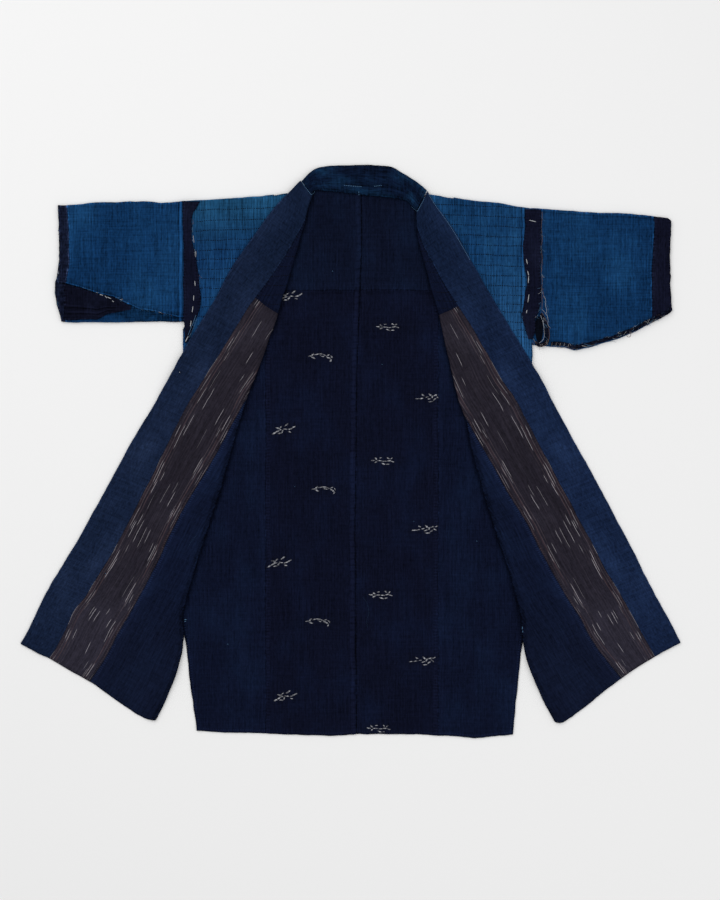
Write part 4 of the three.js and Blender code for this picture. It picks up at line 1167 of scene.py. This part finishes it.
def bandHeight(share, crown):
    return layers["band"] + crown * math.sin(math.pi * share)


def makeBand(name, rows):
    def at(row, share):
        wiggle = 0.9 * noise.noise(Vector((row * 1.7, share * 3, 2.2)))
        wiggle += 0.9 * noise.noise(Vector((row * 6, 4, share)))
        x = mix(section(rows, "left", row), section(rows, "right", row), share) + wiggle
        return x, section(rows, "y", row), bandHeight(share, 0.5)

    makeThinPiece(name, rowsBetween(0, len(rows) - 1, 0.09), 8, at, "band", (26, 22))


# The patch from end to end along the arm, and its two pleats
patchEnds = {"from": -490.5, "to": -376, "under": 0.9, "ragged": 0.7}
patchPleats = table("y rise from to", (248, 0.9, -400, -440), (236, 0.8, -420, -450))


def makeSleevePatch():
    def at(row, share):
        x = mix(patchEnds["from"], patchEnds["to"], row)
        high = lookup(leftSleeve, "x", "slant", x) - patchEnds["under"]
        ragged = patchEnds["ragged"] * noise.noise(Vector((x / 9, 1.1, 0)))
        low = lookup(patchLow, "x", "y", x) + layers["edgeRadius"] + ragged
        y = mix(low, high, share)
        pleats = sum(
            pleat["rise"] * math.exp(-((y - pleat["y"]) / 2.4) ** 2) * smooth(pleat["from"], pleat["to"], x)
            for pleat in patchPleats)
        return x, y, layers["band"] + pleats

    makeThinPiece("sleeve_patch_left", evenly(0, 1, 30), 22, at, "patch", (50, 115))


rawSeam = {"from": 345, "to": 549, "wide": 6.6}


def makeRawSeam():
    def at(row, share):
        x = mix(rawSeam["from"], rawSeam["to"], row)
        edge = lookup(rightSleeve, "x", "bottom", x) + layers["edgeRadius"]
        width = rawSeam["wide"] + 1.3 * noise.noise(Vector((x / 8, 7.7, 0)))
        width += 1.4 * noise.noise(Vector((x / 2.6, 1.7, 0)))
        return x, edge + share * width, bandHeight(share, 0.5)

    makeThinPiece("sleeve_seam_right", evenly(0, 1, 150), 5, at, "raw", (7, 204))


def makeUnderarmLoop():
    last = len(loopPath) - 1
    spot = lambda row: Vector((section(loopPath, "x", row), section(loopPath, "y", row), 0))

    def at(row, share):
        ahead = (spot(min(row + 0.05, last)) - spot(max(row - 0.05, 0))).normalized()
        width = section(loopPath, "width", row) + 0.8 * noise.noise(Vector((row * 3, 5.5, 0)))
        offset = (share - 0.5) * width
        middle = spot(row)
        return middle.x - ahead.y * offset, middle.y + ahead.x * offset, bandHeight(share, 1.2)

    makeThinPiece("underarm_loop_right", rowsBetween(0, last, 0.1), 6, at, "raw", (7, 12))


print("fronts")
makeFrontPieces("left")
rightTop = makeFrontPieces("right")
print("back")
makeBack()
print("collar and sleeves")
makeNeckCollar()
makeSleeves()
makeBand("armhole_band_left", leftBand)
makeBand("armhole_band_right", rightBand)
makeSleevePatch()
makeRawSeam()
makeUnderarmLoop()

# Sewing, laid on whatever shows at each place
threadLooks = {
    "white": (0.50, 0.52, 0.55), "blue": (0.10, 0.22, 0.38), "dark": (0.0022, 0.0032, 0.0085),
    "brown": (0.16, 0.11, 0.10), "navy": (0.02, 0.045, 0.095), "beige": (0.25, 0.22, 0.21),
}
sashiko = {
    "pitch": 3.8, "stagger": 1.7, "length": 2.9, "width": 1.35, "sway": 1.7, "swayLong": 24, "below": 445,
}
# Heights of the rows at the armhole, where their slope is counted from
sashikoRows = {
    "left": {
        "from": -266, "to": -90, "slope": 0.035, "slopeFrom": -266,
        "levels": (436, 414.7, 395.4, 379.3, 362, 344.9, 329.4, 312.2, 296, 279.8, 264, 248.5, 231.3, 215.9)},
    "right": {
        "from": 110, "to": 306, "slope": -0.045, "slopeFrom": 306,
        "levels": (418, 400.8, 384.4, 367.2, 351.7, 334.5, 317.3, 299.5, 282.9, 266.8, 251.5, 238.2, 221, 208,
                   196.9)},
}
# Long white basting of the two armhole bands, end to end
basting = table(
    "x0 y0 x1 y1", (-265.3, 344.9, -264.6, 335.2), (-266.7, 293.3, -265.8, 283.6),
    (-268.4, 268.5, -268.7, 258.3), (-269.6, 250.1, -271.3, 238.4), (-272.7, 225.3, -274.4, 213.8),
    (-277.5, 198.7, -283, 188),
    (306.9, 397.5, 320, 394.2), (302.6, 331.1, 304.7, 321.3), (304.7, 310.5, 306.9, 301.9),
    (306.9, 301.9, 305.9, 288.6), (307.4, 270.9, 305, 254.9), (303.8, 243.4, 302.6, 236.8))
patchMarks = table(
    "x0 y0 x1 y1", (-430, 270, -424, 268), (-421, 267.5, -417, 263.5), (-417, 265.5, -410, 262),
    (-409, 259, -405, 257))
# Small knots and slubs: place, size each way and thread
knots = table(
    "x y wide tall colour", (-292.5, 136, 1.6, 1.4, "white"), (-210, -331, 1.4, 1.4, "blue"),
    (218, -154, 1.4, 1.4, "blue"), (-283, -289, 5.0, 1.6, "blue"), (-283.5, -292, 4.0, 1.2, "blue"),
    (295.8, -303, 1.4, 5.5, "blue"), (296.5, -309, 1.2, 4.0, "blue"), (296, 231, 3.0, 4.5, "navy"),
    (55, 150, 1.2, 1.2, "blue"), (-30, 310, 1.2, 1.2, "blue"), (110, -120, 1.0, 1.0, "blue"),
    (-95, -60, 1.0, 1.0, "blue"), (-420, -210, 1.2, 1.2, "blue"), (455, -230, 1.2, 1.2, "blue"))
# Fine pale lines of stitches: the seams of the collar at the neck, and those on the neck itself
paleRuns = {
    "neckLeft": [(-83.3, 464.2), (-78, 454.5), (-66.3, 440.3), (-60, 447.7)],
    "neckRight": [(131.2, 448.6), (126, 431), (115.5, 411.9), (105.4, 421)],
    "neckRise": [(-10.4, 456.7), (8, 455), (20.6, 454.1)],
    "neckRiseRight": [(41.2, 455), (55, 456.2)],
    "rightEdge": [rightTop(row / 4, section(rightFront, "outer", row / 4) - 1.5) for row in range(1, 13)],
    "neckTick": [(15, 446.3), (15.4, 439.4)],
}
strayThreads = {
    "faintBack": ["navy", 0.15, [(22.3, -250.3), (30, -262), (33, -278), (28, -290), (30, -303)]],
    "faintFront": ["navy", 0.2, [(-278, -164), (-273, -155), (-269, -150), (-264, -144.5)]],
    "ring": ["brown", 0.3, [
        (479.7, 206.1), (483.5, 202.6), (483.2, 197.5), (479, 195.4), (475.6, 198), (476, 202)]],
    "curl1": ["white", 0.25, [(332, 268), (337, 260), (335, 250), (339, 243), (336, 236)]],
    "curl2": ["blue", 0.25, [(333, 258), (340, 250), (341, 240), (337, 230), (342, 222)]],
    "curl3": ["white", 0.22, [(330, 244), (336, 238), (341, 228), (339, 218), (344, 212)]],
    "curl4": ["brown", 0.25, [(329, 280), (333, 272), (331, 262)]],
    "loopOuter": ["brown", 0.35, [
        (329, 240), (336, 228), (341.5, 212), (342.5, 197), (339, 185), (329, 179.5)]],
    "loopInner": ["white", 0.3, [(327, 234), (331.5, 222), (333.5, 209), (334, 197), (331, 190), (325, 187)]],
    "bandEdge1": ["blue", 0.35, [(-270.4, 386), (-270.8, 381), (-270.2, 376.5)]],
    "bandEdge2": ["white", 0.3, [(-269.6, 371), (-268.8, 365), (-268.2, 359)]],
    "bandEdge3": ["white", 0.32, [(-266.9, 347), (-266.3, 340), (-265.4, 334)]],
    "frayLeft1": ["blue", 0.3, [(-265, 234), (-268, 224), (-273, 213), (-278, 200)]],
    "frayLeft2": ["blue", 0.25, [(-263, 228), (-267, 217), (-272, 206), (-276, 196)]],
    "frayBottom1": ["white", 0.25, [(398, 182), (408, 179), (418, 180), (426, 184)]],
    "frayBottom2": ["blue", 0.25, [(402, 185), (412, 181.5), (423, 182), (432, 186)]],
    "frayBottom3": ["white", 0.22, [(440, 188), (450, 189.5), (458, 188)]],
    "frayBottom4": ["brown", 0.22, [(350, 182), (362, 177), (372, 181), (384, 174)]],
    "bandEdge": ["brown", 0.38, [(329.5 - 0.8 * math.sin(y / 6), y) for y in range(412, 240, -6)]],
}


def threadMaterial(name, colour):
    material, shader = newMaterial(name + "_thread", 0.9, 0.1)
    place = addNode(material.node_tree, "TexCoord", {}, "Object")
    twist = noiseOf(stretched(place, (1500, 1500, 1500)), 2.0)
    dark = tuple(0.55 * part for part in colour)
    plug(blendColour(ramp(twist, 0.35, 0.65), dark, colour), shader.inputs["Base Color"])
    plug(bumpOf(twist, 0.4, 0.1), shader.inputs["Normal"])
    return material


threads = {name: threadMaterial(name, colour) for name, colour in threadLooks.items()}


def surfaceAt(x, y):
    graph = bpy.context.evaluated_depsgraph_get()
    start = Vector(((x + shiftX) * mm, (y + shiftY) * mm, 0.1))
    hit, spot, _, _, thing, _ = bpy.context.scene.ray_cast(graph, start, Vector((0, 0, -1)))
    return (spot.z / mm, thing.name) if hit else (0.3, "")


def addTrim(piece):
    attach(piece, "root")


# A stitch is a small long bead, with its height and lift as shares of its width
stitchShape = {"segments": 6, "rings": 4, "height": 0.3, "lift": 0.1, "bridge": 1.5}


def stitchesPiece(name, stitches, colour):
    sewn = bmesh.new()
    shape = stitchShape
    for x0, y0, x1, y1, width in stitches:
        low, high = surfaceAt(x0, y0)[0], surfaceAt(x1, y1)[0]
        if abs(high - low) > shape["bridge"]:  # it bridges an edge, so it lies flat on the upper layer
            low = high = max(low, high)
        top = (low + high) / 2 + width * shape["lift"]
        middle = Vector(((x0 + x1) / 2 + shiftX, (y0 + y1) / 2 + shiftY, top)) * mm
        span = Vector((x1 - x0, y1 - y0, high - low))
        size = Vector((span.length / 2, width / 2, width * shape["height"])) * mm
        matrix = Matrix.LocRotScale(middle, span.to_track_quat("X", "Z"), size)
        bmesh.ops.create_uvsphere(sewn, u_segments=shape["segments"], v_segments=shape["rings"], radius=1,
                                  matrix=matrix @ Matrix.Rotation(math.pi / 2, 4, "Y"))
    for face in sewn.faces:
        face.smooth = True
    bmesh.ops.recalc_face_normals(sewn, faces=sewn.faces)
    addTrim(finishMesh(sewn, name, [threads[colour]]))


def runOf(points, pitch):
    spots = []
    for (x0, y0), (x1, y1) in zip(points, points[1:]):
        count = max(1, round(math.hypot(x1 - x0, y1 - y0) / pitch))
        spots += [(mix(x0, x1, part), mix(y0, y1, part)) for part in evenly(0, 1, count)[:-1]]
    return spots + [points[-1]]


threadShape = {"pitch": 2.5, "smoothings": 3, "lift": 0.8}


def threadPiece(name, colour, radius, lines):
    curve = bpy.data.curves.new(name, "CURVE")
    curve.dimensions = "3D"
    curve.bevel_depth = radius * mm
    curve.bevel_resolution = 1
    curve.use_fill_caps = True
    for points in lines:
        spots = runOf(points, threadShape["pitch"])
        for _ in range(threadShape["smoothings"]):
            smoothed = [
                ((a[0] + 2 * b[0] + c[0]) / 4, (a[1] + 2 * b[1] + c[1]) / 4)
                for a, b, c in zip(spots, spots[1:], spots[2:])]
            spots = [spots[0], *smoothed, spots[-1]]
        spline = curve.splines.new("POLY")
        spline.points.add(len(spots) - 1)
        for point, (x, y) in zip(spline.points, spots):
            height = surfaceAt(x, y)[0] + radius * threadShape["lift"]
            point.co = (*(Vector((x + shiftX, y + shiftY, height)) * mm), 1)
    drawn = newObject(name + "_line", curve)
    bpy.context.view_layer.update()
    mesh = bpy.data.meshes.new_from_object(drawn.evaluated_get(bpy.context.evaluated_depsgraph_get()))
    bpy.data.objects.remove(drawn)
    mesh.name = name
    mesh.materials.clear()
    mesh.materials.append(threads[colour])
    addTrim(newObject(name, mesh))


# Short loose yarns along the raw edges: how many, how long, and how far off the edge
frayedEdges = {
    "sleeveSeam": {"count": 56, "long": (3, 8), "off": 1.4, "path": [
        (x, lookup(rightSleeve, "x", "bottom", x) + 1.5) for x in range(345, 550, 6)]},
    "sleeveSeamTop": {"count": 36, "long": (3, 7), "off": 1.0, "path": [
        (x, lookup(rightSleeve, "x", "bottom", x) + 7.6) for x in range(345, 550, 6)]},
    "bandRight": {"count": 46, "long": (4, 10), "off": 0.9, "path": [
        (row["right"] + 0.5, row["y"]) for row in rightBand[:-2]]},
    "bandLeft": {"count": 16, "long": (3, 8), "off": 0.8, "path": [
        (row["right"] + 0.3, row["y"]) for row in leftBand[2:7]]},
    "flap": {"count": 24, "long": (3, 9), "off": 0.9, "path": [
        (x, lookup(leftSleeve, "x", "slant", x)) for x in range(-470, -300, 8)]},
    "loop": {"count": 26, "long": (4, 10), "off": 3.2, "path": [(row["x"], row["y"]) for row in loopPath]},
    "cuff": {"count": 18, "long": (2, 5), "off": 0.6, "path": [
        (row["free"] + 0.5, row["y"]) for row in leftCuffEdge[:-1]]},
}


hairLook = {
    "spacing": 1.5, "step": 1.6, "turn": 0.5, "bend": 0.35, "radius": 0.17,
    "colours": ("white", "blue", "blue", "navy", "navy", "brown"),
}


def makeFrays():
    hairs = {"white": [], "blue": [], "navy": [], "brown": []}
    step = hairLook["step"]
    for edge in frayedEdges.values():
        path = runOf(edge["path"], hairLook["spacing"])
        for _ in range(edge["count"]):
            at = random.randrange(1, len(path) - 1)
            x, y = path[at]
            heading = math.atan2(path[at + 1][1] - path[at - 1][1], path[at + 1][0] - path[at - 1][0])
            turn = heading + random.uniform(-hairLook["turn"], hairLook["turn"])
            curl = random.uniform(-hairLook["bend"], hairLook["bend"])
            x -= math.sin(heading) * random.uniform(-1, 1) * edge["off"]
            y += math.cos(heading) * random.uniform(-1, 1) * edge["off"]
            hair = [(x, y)]
            for _ in range(max(2, round(random.uniform(*edge["long"]) / step))):
                x, y, turn = x + step * math.cos(turn), y + step * math.sin(turn), turn + curl
                hair.append((x, y))
            hairs[random.choice(hairLook["colours"])].append(hair)
    for colour, lines in hairs.items():
        threadPiece("frays_" + colour, colour, hairLook["radius"], lines)


def makeSashiko(side):
    rows = sashikoRows[side]
    stitches = []
    for count, level in enumerate(rows["levels"]):
        x = rows["from"] + (count * sashiko["stagger"]) % sashiko["pitch"]
        while x < rows["to"]:
            sway = sashiko["sway"] * noise.noise(Vector((x / sashiko["swayLong"], level, 0)))
            y = level + rows["slope"] * (x - rows["slopeFrom"]) + sway
            size = sashiko["length"] * random.uniform(0.65, 1.15)
            under = surfaceAt(x, y)[1]
            if under.startswith(("front_" + side, "strip_top_" + side)) and y < sashiko["below"]:
                stitches.append((x, y, x + size, y + random.uniform(-0.35, 0.35), sashiko["width"]))
            x += sashiko["pitch"]
    stitchesPiece("sashiko_" + side, stitches, "dark")


stitchWide = {"basting": 1.4, "patch": 1.3, "pale": 0.9, "whip": 1.0}
paleRow = {"pitch": 2.9, "share": 0.8}
whipRow = {"from": 346, "to": 374, "count": 4, "lean": 1.6, "low": 0.5, "high": 6.5}


def makeSewing():
    bpy.context.view_layer.update()
    for side in ("left", "right"):
        makeSashiko(side)
    white = [(*row.values(), stitchWide["basting"]) for row in basting]
    white += [(*row.values(), stitchWide["patch"]) for row in patchMarks]
    stitchesPiece("basting", white, "white")
    pale, share = [], paleRow["share"]
    for points in paleRuns.values():
        spots = runOf(points, paleRow["pitch"])
        pale += [
            (*a, mix(a[0], b[0], share), mix(a[1], b[1], share), stitchWide["pale"])
            for a, b in zip(spots, spots[1:])]
    stitchesPiece("neck_stitches", pale, "blue")
    whip = []
    for x in evenly(whipRow["from"], whipRow["to"], whipRow["count"]):
        y = lookup(rightSleeve, "x", "bottom", x)
        whip.append((x, y + whipRow["low"], x + whipRow["lean"], y + whipRow["high"], stitchWide["whip"]))
    stitchesPiece("whip_stitches", whip, "beige")
    for name, (colour, radius, points) in strayThreads.items():
        threadPiece("thread_" + name, colour, radius, [points])
    for colour in ("white", "blue", "navy"):
        small = [(row["x"], row["y"] - row["tall"] / 2, row["x"], row["y"] + row["tall"] / 2, row["wide"])
                 for row in knots if row["colour"] == colour]
        stitchesPiece("knots_" + colour, small, colour)
    makeFrays()


print("sewing")
makeSewing()

# Floor, light and camera. One pixel of the picture is 1.72 mm.
view = {"pixel": 1.72, "tall": 900, "midX": 17.1, "midY": 2.6, "far": 4000.0, "sensor": 36.0}
light = {"world": 0.58, "key": 40.0, "keySize": 3.2, "keyPlace": (-1.3, 1.5, 2.6), "fill": 21.0,
         "fillPlace": (1.7, -0.9, 2.6)}
floorLook = {"half": 4.0, "colour": (0.935, 0.935, 0.935)}


def makeFloor():
    grid = bmesh.new()
    bmesh.ops.create_grid(grid, x_segments=1, y_segments=1, size=floorLook["half"])
    material, shader = newMaterial("pale_floor", 1.0, 0.0)
    shader.inputs["Base Color"].default_value = (*floorLook["colour"], 1)
    finishMesh(grid, "floor", [material])


def makeLights():
    world = bpy.data.worlds.new("soft_room")
    bpy.context.scene.world = world
    world.use_nodes = True
    background = world.node_tree.nodes["Background"]
    background.inputs["Color"].default_value = (1, 1, 1, 1)
    background.inputs["Strength"].default_value = light["world"]
    for name in ("key", "fill"):
        data = bpy.data.lights.new(name, "AREA")
        data.energy = light[name]
        data.size = light["keySize"]
        lamp = newObject(name, data)
        lamp.location = light[name + "Place"]
        lamp.rotation_euler = (-Vector(lamp.location)).to_track_quat("-Z", "Y").to_euler()


def makeCamera():
    data = bpy.data.cameras.new("camera")
    camera = newObject("camera", data)
    far = view["far"] * mm
    data.sensor_width = view["sensor"]
    data.lens = view["sensor"] * far / (view["tall"] * view["pixel"] * mm)
    data.clip_end = 50
    camera.location = ((view["midX"] + shiftX) * mm, (view["midY"] + shiftY) * mm, far)
    bpy.context.scene.camera = camera
    bpy.context.scene.view_settings.view_transform = "Standard"


print("stage")
makeFloor()
makeLights()
makeCamera()

bpy.context.view_layer.update()
